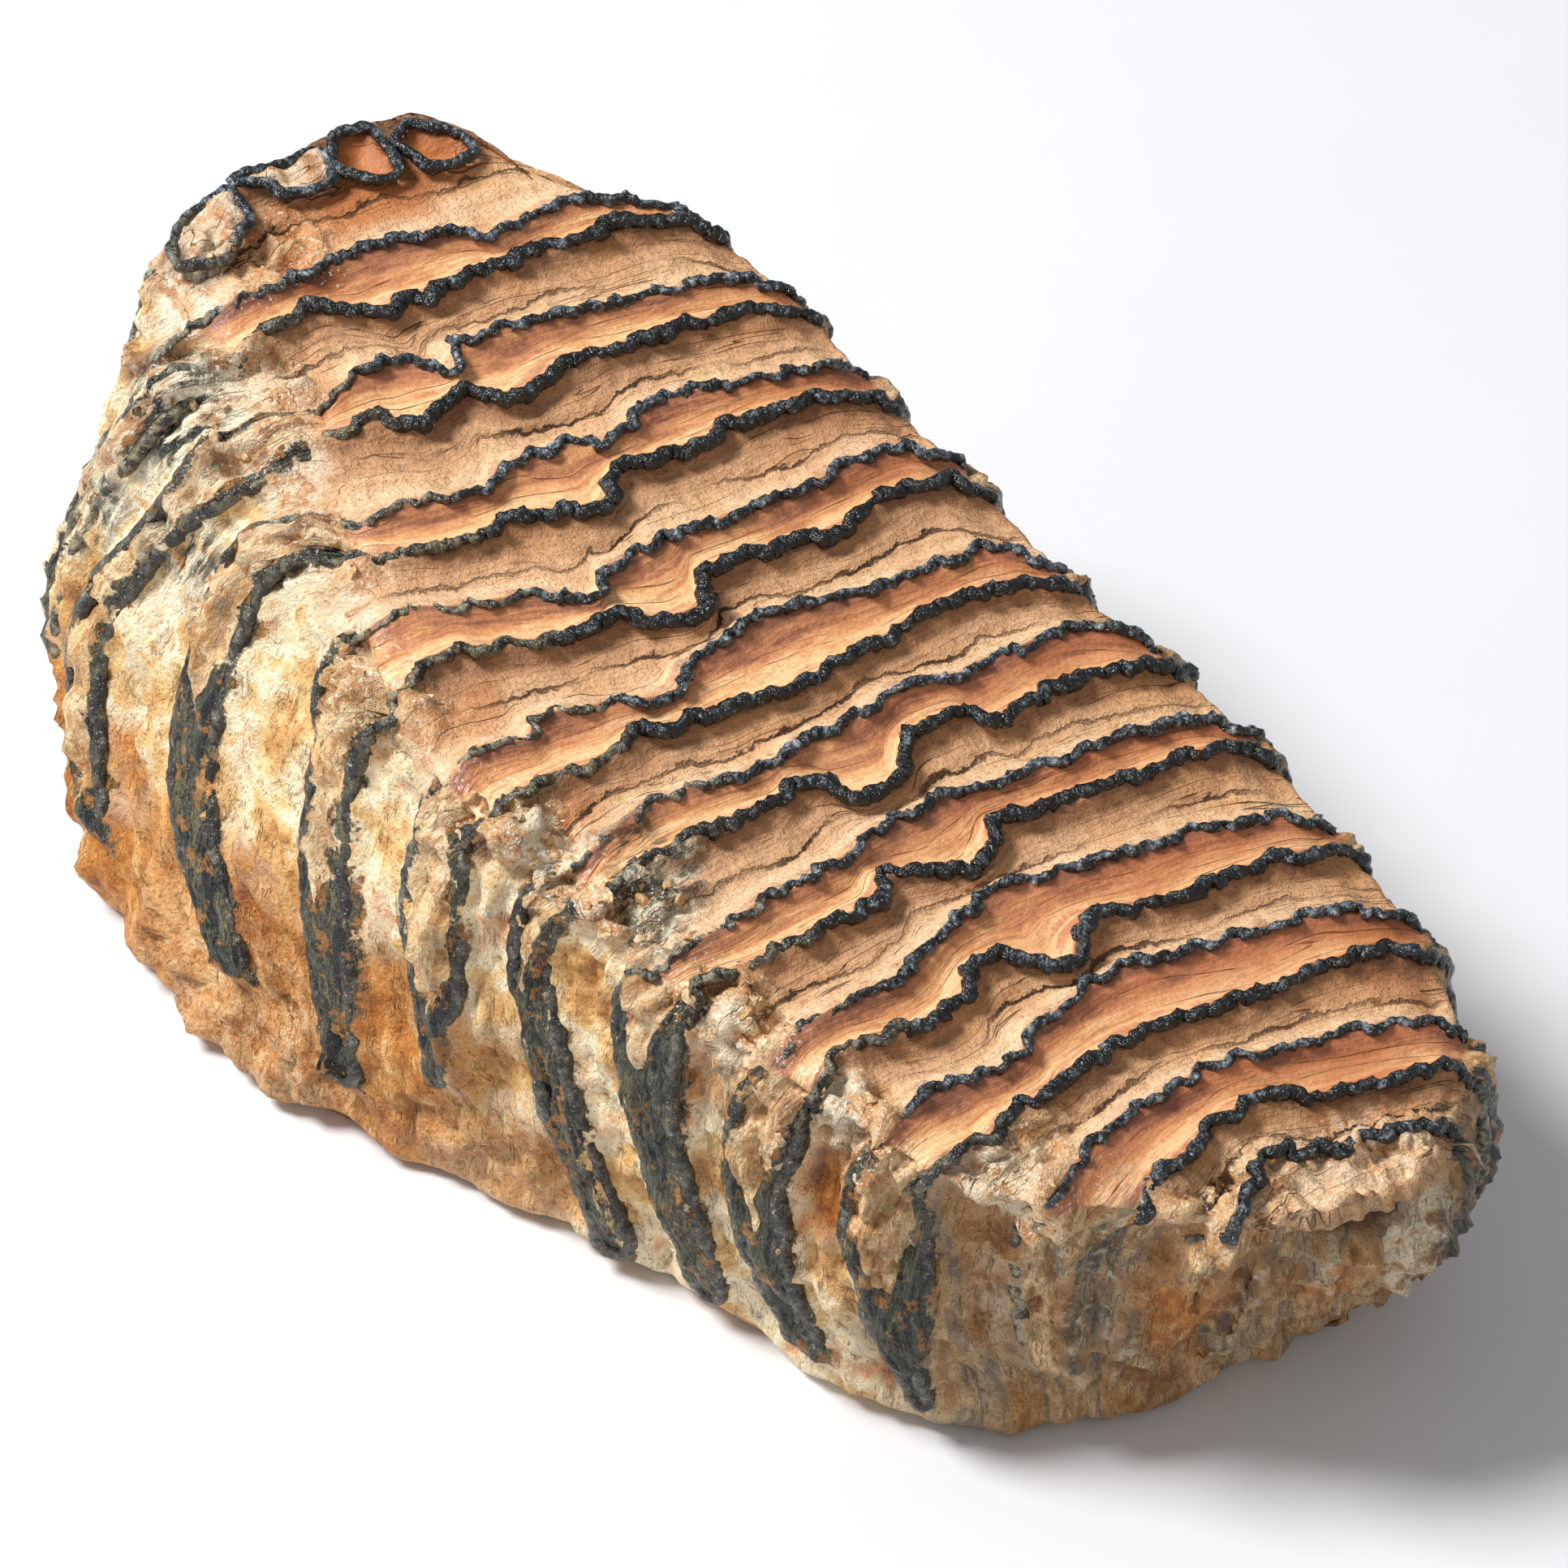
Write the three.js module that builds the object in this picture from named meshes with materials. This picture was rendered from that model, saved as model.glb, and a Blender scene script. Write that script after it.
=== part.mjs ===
import * as THREE from 'three';

// Fossil molar of a mammoth: one solid of upright plates grown together, worn to a slanting
// grinding face and broken off flat below. It lies on the break. Millimetres: X runs from the
// least worn rear end to the front end, Y across the face from the left side, Z up.

// Grinding face
const faceHeight = 47;            // above the base, where x = 0
const faceFall = 0.176;           // drop for each millimetre towards the front
const rimDrop = { left: 2, right: 2.2 };      // how far the face rolls over at its side rims
const rimRoll = 0.08;             // share of the width that rolls over at each side
const faceRelief = { enamel: 0.6, dentine: -0.4, cement: -1.1 };

// Side walls
const shoulderDrop = { left: 8, right: 6, front: 7, rear: 8 };
const waistLevel = 0.47;          // height of the waist as a share of the rim's height
const footHeight = 6;             // where the walls start to curl under
const footTuck = 0.8;             // inset half way round the curl
const baseInset = 3.5;            // inset of the flat base inside the foot
const ribDepth = { left: 0.8, right: 1.2 };     // plates stand proud, cement sinks by this
const rearBow = { shoulder: -8, waist: -9, foot: -7.5 };
const frontBow = { shoulder: 1, waist: 0.6, foot: 0 };
const baseMiddle = [-12, 5];      // x, y where the flat base is fanned from

// Mesh fineness
const acrossSteps = 36;
const wallSteps = 12;

// Worn edges of the enamel plates on the face, from the rear to the front, as [y, x] points.
// Each plate has a rear edge and a front edge with dentine between them; "place" counts plates
// along the tooth, so plate 5 has its edges at 4.85 and 5.15.
const enamelEdges = [
  { place: 1.85, points: [[-15, -74.5], [-5, -73.5], [1.5, -74], [9.5, -72.5], [13, -71.5],
    [15.5, -69], [18, -69.5], [25, -69.5], [30.5, -67], [36.5, -61.5]] },
  { place: 2.15, points: [[-15, -69.5], [-6, -70], [-3, -68.5], [0.5, -65.5], [3, -66], [11, -66],
    [16, -65.5], [22, -65], [30, -64], [37.5, -59.5]] },
  { place: 2.85, points: [[-11.5, -60], [-4.5, -61], [-1.5, -60], [2, -56.5], [4, -59.5], [8.5, -59],
    [17, -57.5], [25, -55.5], [31.5, -54.5], [39.5, -50]] },
  { place: 3.15, points: [[-13, -57], [-7.5, -54.5], [-5, -52.5], [-2, -53], [1.5, -54.5], [3, -52.5],
    [5.5, -51], [12.5, -52], [18, -51.5], [27.5, -50.5], [39.5, -46.5]] },
  { place: 3.85, points: [[-17, -46.5], [-13.5, -45.5], [-4, -43], [-1, -44.5], [6.5, -43.5], [11, -42],
    [16.5, -44], [23, -43], [30, -41.5], [39.5, -38.5]] },
  { place: 4.15, points: [[-18, -42.5], [-15.5, -40.5], [-10.5, -39], [-3.5, -38.5], [0, -37.5],
    [4.5, -35.5], [7, -37.5], [10, -39], [15, -38], [26, -38], [31.5, -37], [39.5, -33.5]] },
  { place: 4.85, points: [[-23.5, -35.5], [-19.5, -34.5], [-15.5, -32.5], [-7.5, -30], [-2.5, -26.5],
    [0, -29.5], [9, -29.5], [22, -28.5], [33, -28.5], [41, -25]] },
  { place: 5.15, points: [[-26, -27.5], [-18, -28.5], [-15.5, -27], [-7.5, -24.5], [-2, -24.5],
    [0.5, -22.5], [4, -20.5], [6.5, -21], [9, -24.5], [13.5, -24], [23.5, -22.5], [32.5, -23.5],
    [41, -20]] },
  { place: 5.85, points: [[-27, -16.5], [-24, -17.5], [-18.5, -16], [-16.5, -17.5], [-13, -17],
    [-2.5, -14], [0, -16], [3, -16.5], [11, -17], [21, -15], [34, -14], [41.5, -10]] },
  { place: 6.15, points: [[-27, -11], [-21, -11.5], [-12, -10.5], [-8.5, -11.5], [-1, -10], [9, -9],
    [18.5, -9.5], [29, -10], [41.5, -6]] },
  { place: 6.85, points: [[-22.5, -2.5], [-16.5, -3.5], [-12.5, -4.5], [-6, -3.5], [1, -2.5],
    [4.5, -3.5], [11.5, -3], [17, -4], [24, -2.5], [35, -2], [44, 2.5]] },
  { place: 7.15, points: [[-23.5, 2], [-18, 1], [-8.5, 1], [-1.5, 1.5], [1, 0.5], [3.5, 1.5], [5.5, 4.5],
    [10.5, 5], [13, 2], [15.5, 1], [21, 1.5], [22.5, 4], [30.5, 3.5], [44, 6]] },
  { place: 7.85, points: [[-23, 10.5], [-15.5, 11], [-9, 10], [-2, 10], [6.5, 8.5], [10.5, 8.5],
    [21.5, 10], [37, 12], [45.5, 15.5]] },
  { place: 8.15, points: [[-21, 14], [-13.5, 15.5], [-0.5, 15.5], [2, 13.5], [6, 15.5], [10, 17],
    [13, 16], [16.5, 13.5], [25, 15], [38.5, 16.5], [45.5, 19.5]] },
  { place: 8.85, points: [[-19.5, 24.5], [-16, 23.5], [-4.5, 23.5], [1, 22], [6.5, 20.5], [11, 19.5],
    [16, 21], [28, 23], [39.5, 26], [45, 28.5]] },
  { place: 9.15, points: [[-18.5, 29], [-16, 28], [-12, 27.5], [-5.5, 29], [-1.5, 28.5], [4, 26],
    [7.5, 27], [11, 30.5], [14, 28], [16.5, 27], [25, 29], [35.5, 30], [45, 32.5]] },
  { place: 9.85, points: [[-15.5, 36.5], [-9.5, 35.5], [-1.5, 36.5], [1, 36], [2.5, 34.5], [6, 34],
    [14, 33], [25.5, 35], [35.5, 37], [45, 41.5]] },
  { place: 10.15, points: [[-14, 41], [-8, 42], [-4.5, 41], [0.5, 41], [3.5, 40], [9.5, 39.5], [15, 40],
    [22, 41.5], [33.5, 42.5], [44, 45.5]] },
  { place: 10.85, points: [[-7, 50], [-3.5, 49], [-0.5, 47.5], [4.5, 46.5], [16, 46], [22.5, 47.5],
    [34.5, 51], [40.5, 54]] },
  { place: 11.15, points: [[1, 54], [8, 52.5], [11, 51.5], [16, 51], [22, 53.5], [27.5, 55],
    [38, 57.5]] },
  { place: 11.9, points: [[6.5, 60.5], [10.5, 58.5], [12, 57], [16, 56.5], [17, 58], [20.5, 59],
    [32, 62]] },
];
const rearEdge = { place: 1, points: [[-15, -83], [-7, -86.5], [-3, -86.5], [1, -86.5], [5, -87.5],
  [9, -88], [14, -87.5], [18, -86.5], [21, -83], [25, -74]] };
const frontEdge = { place: 12.3, points: [[9, 62], [14, 63.5], [20, 64.5], [27, 64.5], [30.5, 64]] };

// Where the side walls pass, plate by plate: [place, shoulder x, y, waist x, y, foot x, y].
const leftWall = [
  [1, -83.5, -17, -85, -18, -82, -18],
  [2, -77, -24, -79, -29.5, -75, -31],
  [3, -63, -25, -67, -33, -61.5, -37],
  [4, -52.5, -26, -49.5, -34, -35, -39],
  [5, -35, -28.5, -31, -33, -22.5, -35.5],
  [6, -15, -30, -12, -31.5, -7, -29.5],
  [7, -3, -26, 0, -27, 5, -24.5],
  [8, 10.5, -24.5, 13.5, -24, 17, -20],
  [9, 25, -20, 26.5, -21, 30, -17],
  [10, 37.5, -15.5, 38.5, -16.5, 41.5, -12],
  [11, 49, -4, 49, -3.5, 50, -1.5],
  [12.3, 61.5, 9.5, 59.5, 10, 53.5, 11],
];
const rightWall = [
  [1, -77.5, 27.5, -81, 31.5, -78, 31.5],
  [2, -62.5, 37.5, -65, 41.5, -61, 41],
  [3, -49.5, 41, -52, 45.5, -46, 44.5],
  [4, -37, 41.5, -39, 46, -33, 45],
  [5, -23.5, 43, -25, 47, -20, 45.5],
  [6, -9, 43.5, -9, 47.5, -5, 46],
  [7, 3.5, 46, 3.5, 49, 6, 47.5],
  [8, 17, 47.5, 17.5, 50, 19, 48.5],
  [9, 30, 47, 31, 49.5, 31, 48.5],
  [10, 43.5, 46.5, 43.5, 48.5, 40.5, 47],
  [11, 56, 42, 55.5, 44.5, 49.5, 43.5],
  [12.3, 65, 31.5, 62, 31.5, 55, 31],
];

// Smooth curve through [position, value] knots that never overshoots them.
function smoothThrough(knots, position) {
  const slopes = [];
  for (let i = 0; i < knots.length - 1; i++) {
    slopes.push((knots[i + 1][1] - knots[i][1]) / (knots[i + 1][0] - knots[i][0]));
  }
  const tangentAt = (i) => {
    if (i === 0) return slopes[0];
    if (i === knots.length - 1) return slopes[i - 1];
    if (slopes[i - 1] * slopes[i] <= 0) return 0;
    return 2 * slopes[i - 1] * slopes[i] / (slopes[i - 1] + slopes[i]);
  };
  let i = 0;
  while (i < knots.length - 2 && position > knots[i + 1][0]) i++;
  const width = knots[i + 1][0] - knots[i][0];
  const t = (position - knots[i][0]) / width;
  const rise = t * t * (3 - 2 * t);
  return knots[i][1] * (1 - rise) + knots[i + 1][1] * rise
    + width * tangentAt(i) * t * (1 - t) * (1 - t)
    - width * tangentAt(i + 1) * t * t * (1 - t);
}

// Rows of the face: the edges themselves, and one row in the middle of each strip between them.
function faceRows() {
  const edges = [rearEdge, ...enamelEdges, frontEdge];
  const rows = [];
  edges.forEach((edge, i) => {
    const onEnamel = edge !== rearEdge && edge !== frontEdge;
    const crest = onEnamel ? faceRelief.enamel : 0;
    rows.push({ place: edge.place, rear: edge, front: edge, mix: 0, relief: crest });
    const next = edges[i + 1];
    if (!next) return;
    const insidePlate = next.place - edge.place < 0.5 && Math.round(edge.place) === Math.round(next.place);
    const relief = insidePlate ? faceRelief.dentine : faceRelief.cement;
    const place = (edge.place + next.place) / 2;
    rows.push({ place, rear: edge, front: next, mix: 0.5, relief });
  });
  return rows;
}

function edgePoint(edge, across) {
  const first = edge.points[0][0];
  const last = edge.points[edge.points.length - 1][0];
  const y = first + across * (last - first);
  return [smoothThrough(edge.points, y), y];
}

// A point of the face; across runs from 0 at the left rim to 1 at the right rim.
function facePoint(row, across) {
  const rear = edgePoint(row.rear, across);
  const front = edgePoint(row.front, across);
  const x = rear[0] + row.mix * (front[0] - rear[0]);
  const y = rear[1] + row.mix * (front[1] - rear[1]);
  const leftRoll = Math.max(0, 1 - across / rimRoll) ** 2;
  const rightRoll = Math.max(0, 1 - (1 - across) / rimRoll) ** 2;
  const z = faceHeight - faceFall * x - rimDrop.left * leftRoll - rimDrop.right * rightRoll;
  return new THREE.Vector3(x, y, z + row.relief * (1 - leftRoll) * (1 - rightRoll));
}

function wallPlan(table, place) {
  const column = (k) => smoothThrough(table.map((entry) => [entry[0], entry[k]]), place);
  return {
    shoulder: [column(1), column(2)],
    waist: [column(3), column(4)],
    foot: [column(5), column(6)],
  };
}

// Plan of an end wall, between the ends of the two side walls, bowed outwards.
function endPlan(from, to, bow, t) {
  const plan = {};
  for (const level of ['shoulder', 'waist', 'foot']) {
    const x = from[level][0] + t * (to[level][0] - from[level][0]) + bow[level] * 4 * t * (1 - t);
    const y = from[level][1] + t * (to[level][1] - from[level][1]);
    plan[level] = [x, y];
  }
  return plan;
}

// The rim as a ring, anticlockwise from above: left side, front end, right side, rear end.
function rimRing(rows, grid) {
  const ring = [];
  const lastRow = rows.length - 1;
  const add = (row, step, plan, drop, rib) => ring.push({ row, step, rim: grid[row][step], plan, drop, rib });
  const ripple = (place) => Math.cos(2 * Math.PI * place);
  for (let r = 0; r < lastRow; r++) {
    add(r, 0, wallPlan(leftWall, rows[r].place), shoulderDrop.left, ribDepth.left * ripple(rows[r].place));
  }
  const frontLeft = wallPlan(leftWall, frontEdge.place);
  const frontRight = wallPlan(rightWall, frontEdge.place);
  for (let s = 0; s < acrossSteps; s++) {
    add(lastRow, s, endPlan(frontLeft, frontRight, frontBow, s / acrossSteps), shoulderDrop.front, 0);
  }
  for (let r = lastRow; r > 0; r--) {
    const rib = ribDepth.right * ripple(rows[r].place);
    add(r, acrossSteps, wallPlan(rightWall, rows[r].place), shoulderDrop.right, rib);
  }
  const rearRight = wallPlan(rightWall, rearEdge.place);
  const rearLeft = wallPlan(leftWall, rearEdge.place);
  for (let s = acrossSteps; s > 0; s--) {
    add(0, s, endPlan(rearRight, rearLeft, rearBow, 1 - s / acrossSteps), shoulderDrop.rear, 0);
  }
  return ring;
}

// One line down the wall, from the rim over the shoulder, waist and foot to the flat base.
function wallLine(station, outward) {
  const { rim, plan, drop, rib } = station;
  const at = (level, z, shift) => new THREE.Vector3(
    plan[level][0] + outward.x * shift, plan[level][1] + outward.y * shift, z);
  const shoulder = at('shoulder', rim.z - drop, rib);
  const overRim = rim.clone().lerp(shoulder, 0.65);
  overRim.z = rim.z - 0.3 * drop;
  return new THREE.CatmullRomCurve3([
    rim,
    overRim,
    shoulder,
    at('waist', rim.z * waistLevel, rib),
    at('foot', footHeight, rib),
    at('foot', footHeight * 0.4, -footTuck),
    at('foot', 0, -baseInset),
  ]);
}

function makeTooth() {
  const rows = faceRows();
  const positions = [];
  const triangles = [];
  const addPoint = (point) => positions.push(point.x, point.y, point.z) / 3 - 1;
  const addQuad = (a, b, c, d) => triangles.push(a, b, c, a, c, d);

  const grid = rows.map((row) => {
    const line = [];
    for (let s = 0; s <= acrossSteps; s++) line.push(facePoint(row, s / acrossSteps));
    return line;
  });
  const faceIndex = grid.map((line) => line.map(addPoint));
  for (let r = 0; r < rows.length - 1; r++) {
    for (let s = 0; s < acrossSteps; s++) {
      addQuad(faceIndex[r][s], faceIndex[r + 1][s], faceIndex[r + 1][s + 1], faceIndex[r][s + 1]);
    }
  }

  const ring = rimRing(rows, grid);
  const levels = ring.map((station, i) => {
    const before = ring[(i + ring.length - 1) % ring.length].plan.waist;
    const after = ring[(i + 1) % ring.length].plan.waist;
    const outward = new THREE.Vector2(after[1] - before[1], before[0] - after[0]).normalize();
    const line = wallLine(station, outward);
    const indices = [faceIndex[station.row][station.step]];
    for (let k = 1; k <= wallSteps; k++) indices.push(addPoint(line.getPoint(k / wallSteps)));
    return indices;
  });
  for (let i = 0; i < ring.length; i++) {
    const here = levels[i];
    const next = levels[(i + 1) % ring.length];
    for (let k = 0; k < wallSteps; k++) addQuad(here[k], here[k + 1], next[k + 1], next[k]);
  }

  const baseCentre = addPoint(new THREE.Vector3(...baseMiddle, 0));
  for (let i = 0; i < ring.length; i++) {
    triangles.push(levels[i][wallSteps], baseCentre, levels[(i + 1) % ring.length][wallSteps]);
  }

  const geometry = new THREE.BufferGeometry();
  geometry.setAttribute('position', new THREE.Float32BufferAttribute(positions, 3));
  geometry.setIndex(triangles);
  geometry.computeBoundingBox();
  const middle = geometry.boundingBox.getCenter(new THREE.Vector3());
  geometry.translate(-middle.x, -middle.y, 0);
  geometry.computeVertexNormals();
  return geometry;
}

const toothStuff = new THREE.MeshStandardMaterial({ color: 0xb98552, roughness: 0.6, metalness: 0 });
const tooth = new THREE.Mesh(makeTooth(), toothStuff);
tooth.name = 'mammoth_tooth';

const group = new THREE.Group();
group.add(tooth);
export default group;
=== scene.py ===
import math
from functools import partial

import bpy
import numpy as np
from mathutils import Matrix, Vector


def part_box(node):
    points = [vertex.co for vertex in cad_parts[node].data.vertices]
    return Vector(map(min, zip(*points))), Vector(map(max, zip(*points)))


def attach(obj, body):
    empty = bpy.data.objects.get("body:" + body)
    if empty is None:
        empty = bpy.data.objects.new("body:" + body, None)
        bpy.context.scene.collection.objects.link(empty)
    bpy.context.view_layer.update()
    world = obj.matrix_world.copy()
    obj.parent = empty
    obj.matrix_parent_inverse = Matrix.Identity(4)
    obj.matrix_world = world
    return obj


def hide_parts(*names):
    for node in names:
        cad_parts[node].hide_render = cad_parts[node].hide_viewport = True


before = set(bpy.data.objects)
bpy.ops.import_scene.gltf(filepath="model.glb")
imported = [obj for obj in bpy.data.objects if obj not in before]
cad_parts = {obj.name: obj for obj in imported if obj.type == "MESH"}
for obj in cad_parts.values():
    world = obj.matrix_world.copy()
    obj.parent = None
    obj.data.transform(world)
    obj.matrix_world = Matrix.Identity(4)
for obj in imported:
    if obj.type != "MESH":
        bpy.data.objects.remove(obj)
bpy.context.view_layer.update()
cadLow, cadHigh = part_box("mammoth_tooth")
mm = 0.001
print("frame loaded")


# small helpers

def srgb(code):
    # hex colour to the linear numbers that a shader socket takes
    parts = [int(code[i:i + 2], 16) / 255 for i in (1, 3, 5)]
    return [c / 12.92 if c <= 0.04045 else ((c + 0.055) / 1.055) ** 2.4 for c in parts] + [1.0]


def perMm(size):
    # texture scale for a feature of that many millimetres on coordinates in metres
    return 1 / (size * mm)


def addNode(tree, kind, inputs=(), operation=None, stops=None, **settings):
    # Inputs go by socket order or by name; each is a value, a socket, or a whole node, whose first
    # live output is linked. A Mix that is given sockets 6 and 7 mixes colours.
    node = tree.nodes.new(kind if "Node" in kind else "ShaderNode" + kind)
    given = inputs if isinstance(inputs, dict) else dict(enumerate(inputs))
    if operation:
        node.operation = operation
    if kind == "Mix" and 6 in given:
        node.data_type = "RGBA"
    for name, value in settings.items():
        setattr(node, name, value)
    for name, value in given.items():
        if isinstance(value, bpy.types.Node):
            value = next(socket for socket in value.outputs if socket.enabled)
        if isinstance(value, bpy.types.NodeSocket):
            tree.links.new(value, node.inputs[name])
        else:
            colour = isinstance(value, str) and "#" in value
            node.inputs[name].default_value = srgb(value) if colour else value
    if stops:
        ramp = node.color_ramp.elements
        while len(ramp) < len(stops):
            ramp.new(1.0)
        for element, (place, shade) in zip(ramp, stops.items()):
            element.position = place
            element.color = srgb(shade) if isinstance(shade, str) else (shade, shade, shade, 1)
    return node


def addObject(name, data):
    made = bpy.data.objects.new(name, data)
    bpy.context.scene.collection.objects.link(made)
    return made


def storeField(mesh, name, values):
    stored = mesh.attributes.new(name, "FLOAT", "POINT")
    stored.data.foreach_set("value", np.array(values, np.float32))


def smoothStep(low, high, value):
    t = np.clip((value - low) / (high - low), 0, 1)
    return t * t * (3 - 2 * t)


def smoothThrough(knots, values, at):
    # curve through the knots that never overshoots them
    knots = np.asarray(knots, float)
    values = np.asarray(values, float)
    at = np.clip(at, knots[0], knots[-1])
    width = np.diff(knots)
    slope = np.diff(values) / width
    same = slope[:-1] * slope[1:] > 0
    both = np.where(same, slope[:-1] + slope[1:], 1)
    inner = np.where(same, 2 * slope[:-1] * slope[1:] / both, 0)
    tangent = np.concatenate([slope[:1], inner, slope[-1:]])
    i = np.clip(np.searchsorted(knots, at, side="right") - 1, 0, len(width) - 1)
    t = (at - knots[i]) / width[i]
    rise = t * t * (3 - 2 * t)
    bend = tangent[i] * t * (1 - t) ** 2 - tangent[i + 1] * t * t * (1 - t)
    return values[i] * (1 - rise) + values[i + 1] * rise + width[i] * bend


def lumps(points, size, seed, octaves=1):
    # smooth noise, about -1 to 1; size is the width of one lump, and each octave halves it
    total = np.zeros(len(points))
    for octave in range(octaves):
        random = np.random.default_rng(seed + octave)
        lean = random.normal(size=(24, 24, 24, 3))
        lean /= np.linalg.norm(lean, axis=-1, keepdims=True)
        spot = points * (2 ** octave / size)
        cell = np.floor(spot).astype(int)
        part = spot - cell
        fade = part ** 3 * (part * (part * 6 - 15) + 10)
        for corner in np.ndindex(2, 2, 2):
            corner = np.array(corner)
            at = (cell + corner) % 24
            share = np.prod(np.where(corner, fade, 1 - fade), axis=1)
            value = np.sum(lean[at[:, 0], at[:, 1], at[:, 2]] * (part - corner), axis=1)
            total += 1.6 * share * value / 2 ** octave
    return total


# shape of the tooth, in millimetres; x = 0 is under the middle of the face

toothShape = {
    "faceHeight": 47.0,       # where x = 0
    "faceFall": 0.176,        # drop for each millimetre towards the front
    "rimRoll": 0.08,          # share of the width that rolls over at each side
    "rimDrop": {"left": 2.0, "right": 2.2},
    "shoulderDrop": {"left": 8.0, "front": 7.0, "right": 6.0, "rear": 8.0},
    "waistLevel": 0.47,
    "footHeight": 6.0,
    "footTuck": 0.8,          # at the curl, under the foot
    "curlLevel": 0.4,         # share of the foot's height
    "baseInset": 3.5,
    "overRim": (0.65, 0.3),   # shares of the way out to the shoulder and down to it
    "endBow": {"rear": (-8.0, -9.0, -7.5), "front": (1.0, 0.6, 0.0)},
    "baseMiddle": (-12.0, 5.0),
}

# "Place" counts plates along the tooth: plate 5 has its rear edge at 4.85, its front edge at 5.15
firstPlace, lastPlace = 1.0, 12.3
halfPlate, lastPlateRear = 0.15, 11.9
plateSpread = 14.5                                # millimetres of tooth for one place

# Worn enamel edges, as [y, x] points from left to right
rearEnd = [[-15, -83], [-7, -86.5], [-3, -86.5], [1, -86.5], [5, -87.5], [9, -88], [14, -87.5],
           [18, -86.5], [21, -83], [25, -74]]
enamelEdges = {
    1.85: [[-15, -74.5], [-5, -73.5], [1.5, -74], [9.5, -72.5], [13, -71.5], [15.5, -69], [18, -69.5],
           [25, -69.5], [30.5, -67], [36.5, -61.5]],
    2.15: [[-15, -69.5], [-6, -70], [-3, -68.5], [0.5, -65.5], [3, -66], [11, -66], [16, -65.5],
           [22, -65], [30, -64], [37.5, -59.5]],
    2.85: [[-11.5, -60], [-4.5, -61], [-1.5, -60], [2, -56.5], [4, -59.5], [8.5, -59], [17, -57.5],
           [25, -55.5], [31.5, -54.5], [39.5, -50]],
    3.15: [[-13, -57], [-7.5, -54.5], [-5, -52.5], [-2, -53], [1.5, -54.5], [3, -52.5], [5.5, -51],
           [12.5, -52], [18, -51.5], [27.5, -50.5], [39.5, -46.5]],
    3.85: [[-17, -46.5], [-13.5, -45.5], [-4, -43], [-1, -44.5], [6.5, -43.5], [11, -42], [16.5, -44],
           [23, -43], [30, -41.5], [39.5, -38.5]],
    4.15: [[-18, -42.5], [-15.5, -40.5], [-10.5, -39], [-3.5, -38.5], [0, -37.5], [4.5, -35.5],
           [7, -37.5], [10, -39], [15, -38], [26, -38], [31.5, -37], [39.5, -33.5]],
    4.85: [[-23.5, -35.5], [-19.5, -34.5], [-15.5, -32.5], [-7.5, -30], [-2.5, -26.5], [0, -29.5],
           [9, -29.5], [22, -28.5], [33, -28.5], [41, -25]],
    5.15: [[-26, -27.5], [-18, -28.5], [-15.5, -27], [-7.5, -24.5], [-2, -24.5], [0.5, -22.5],
           [4, -20.5], [6.5, -21], [9, -24.5], [13.5, -24], [23.5, -22.5], [32.5, -23.5], [41, -20]],
    5.85: [[-27, -16.5], [-24, -17.5], [-18.5, -16], [-16.5, -17.5], [-13, -17], [-2.5, -14], [0, -16],
           [3, -16.5], [11, -17], [21, -15], [34, -14], [41.5, -10]],
    6.15: [[-27, -11], [-21, -11.5], [-12, -10.5], [-8.5, -11.5], [-1, -10], [9, -9], [18.5, -9.5],
           [29, -10], [41.5, -6]],
    6.85: [[-22.5, -2.5], [-16.5, -3.5], [-12.5, -4.5], [-6, -3.5], [1, -2.5], [4.5, -3.5], [11.5, -3],
           [17, -4], [24, -2.5], [35, -2], [44, 2.5]],
    7.15: [[-23.5, 2], [-18, 1], [-8.5, 1], [-1.5, 1.5], [1, 0.5], [3.5, 1.5], [5.5, 4.5], [10.5, 5],
           [13, 2], [15.5, 1], [21, 1.5], [22.5, 4], [30.5, 3.5], [44, 6]],
    7.85: [[-23, 10.5], [-15.5, 11], [-9, 10], [-2, 10], [6.5, 8.5], [10.5, 8.5], [21.5, 10], [37, 12],
           [45.5, 15.5]],
    8.15: [[-21, 14], [-13.5, 15.5], [-0.5, 15.5], [2, 13.5], [6, 15.5], [10, 17], [13, 16],
           [16.5, 13.5], [25, 15], [38.5, 16.5], [45.5, 19.5]],
    8.85: [[-19.5, 24.5], [-16, 23.5], [-4.5, 23.5], [1, 22], [6.5, 20.5], [11, 19.5], [16, 21],
           [28, 23], [39.5, 26], [45, 28.5]],
    9.15: [[-18.5, 29], [-16, 28], [-12, 27.5], [-5.5, 29], [-1.5, 28.5], [4, 26], [7.5, 27],
           [11, 30.5], [14, 28], [16.5, 27], [25, 29], [35.5, 30], [45, 32.5]],
    9.85: [[-15.5, 36.5], [-9.5, 35.5], [-1.5, 36.5], [1, 36], [2.5, 34.5], [6, 34], [14, 33],
           [25.5, 35], [35.5, 37], [45, 41.5]],
    10.15: [[-14, 41], [-8, 42], [-4.5, 41], [0.5, 41], [3.5, 40], [9.5, 39.5], [15, 40], [22, 41.5],
            [33.5, 42.5], [44, 45.5]],
    10.85: [[-7, 50], [-3.5, 49], [-0.5, 47.5], [4.5, 46.5], [16, 46], [22.5, 47.5], [34.5, 51],
            [40.5, 54]],
    11.15: [[1, 54], [8, 52.5], [11, 51.5], [16, 51], [22, 53.5], [27.5, 55], [38, 57.5]],
    lastPlateRear: [[6.5, 60.5], [10.5, 58.5], [12, 57], [16, 56.5], [17, 58], [20.5, 59], [32, 62]],
}
frontEnd = [[9, 62], [14, 63.5], [20, 64.5], [27, 64.5], [30.5, 64]]
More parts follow.
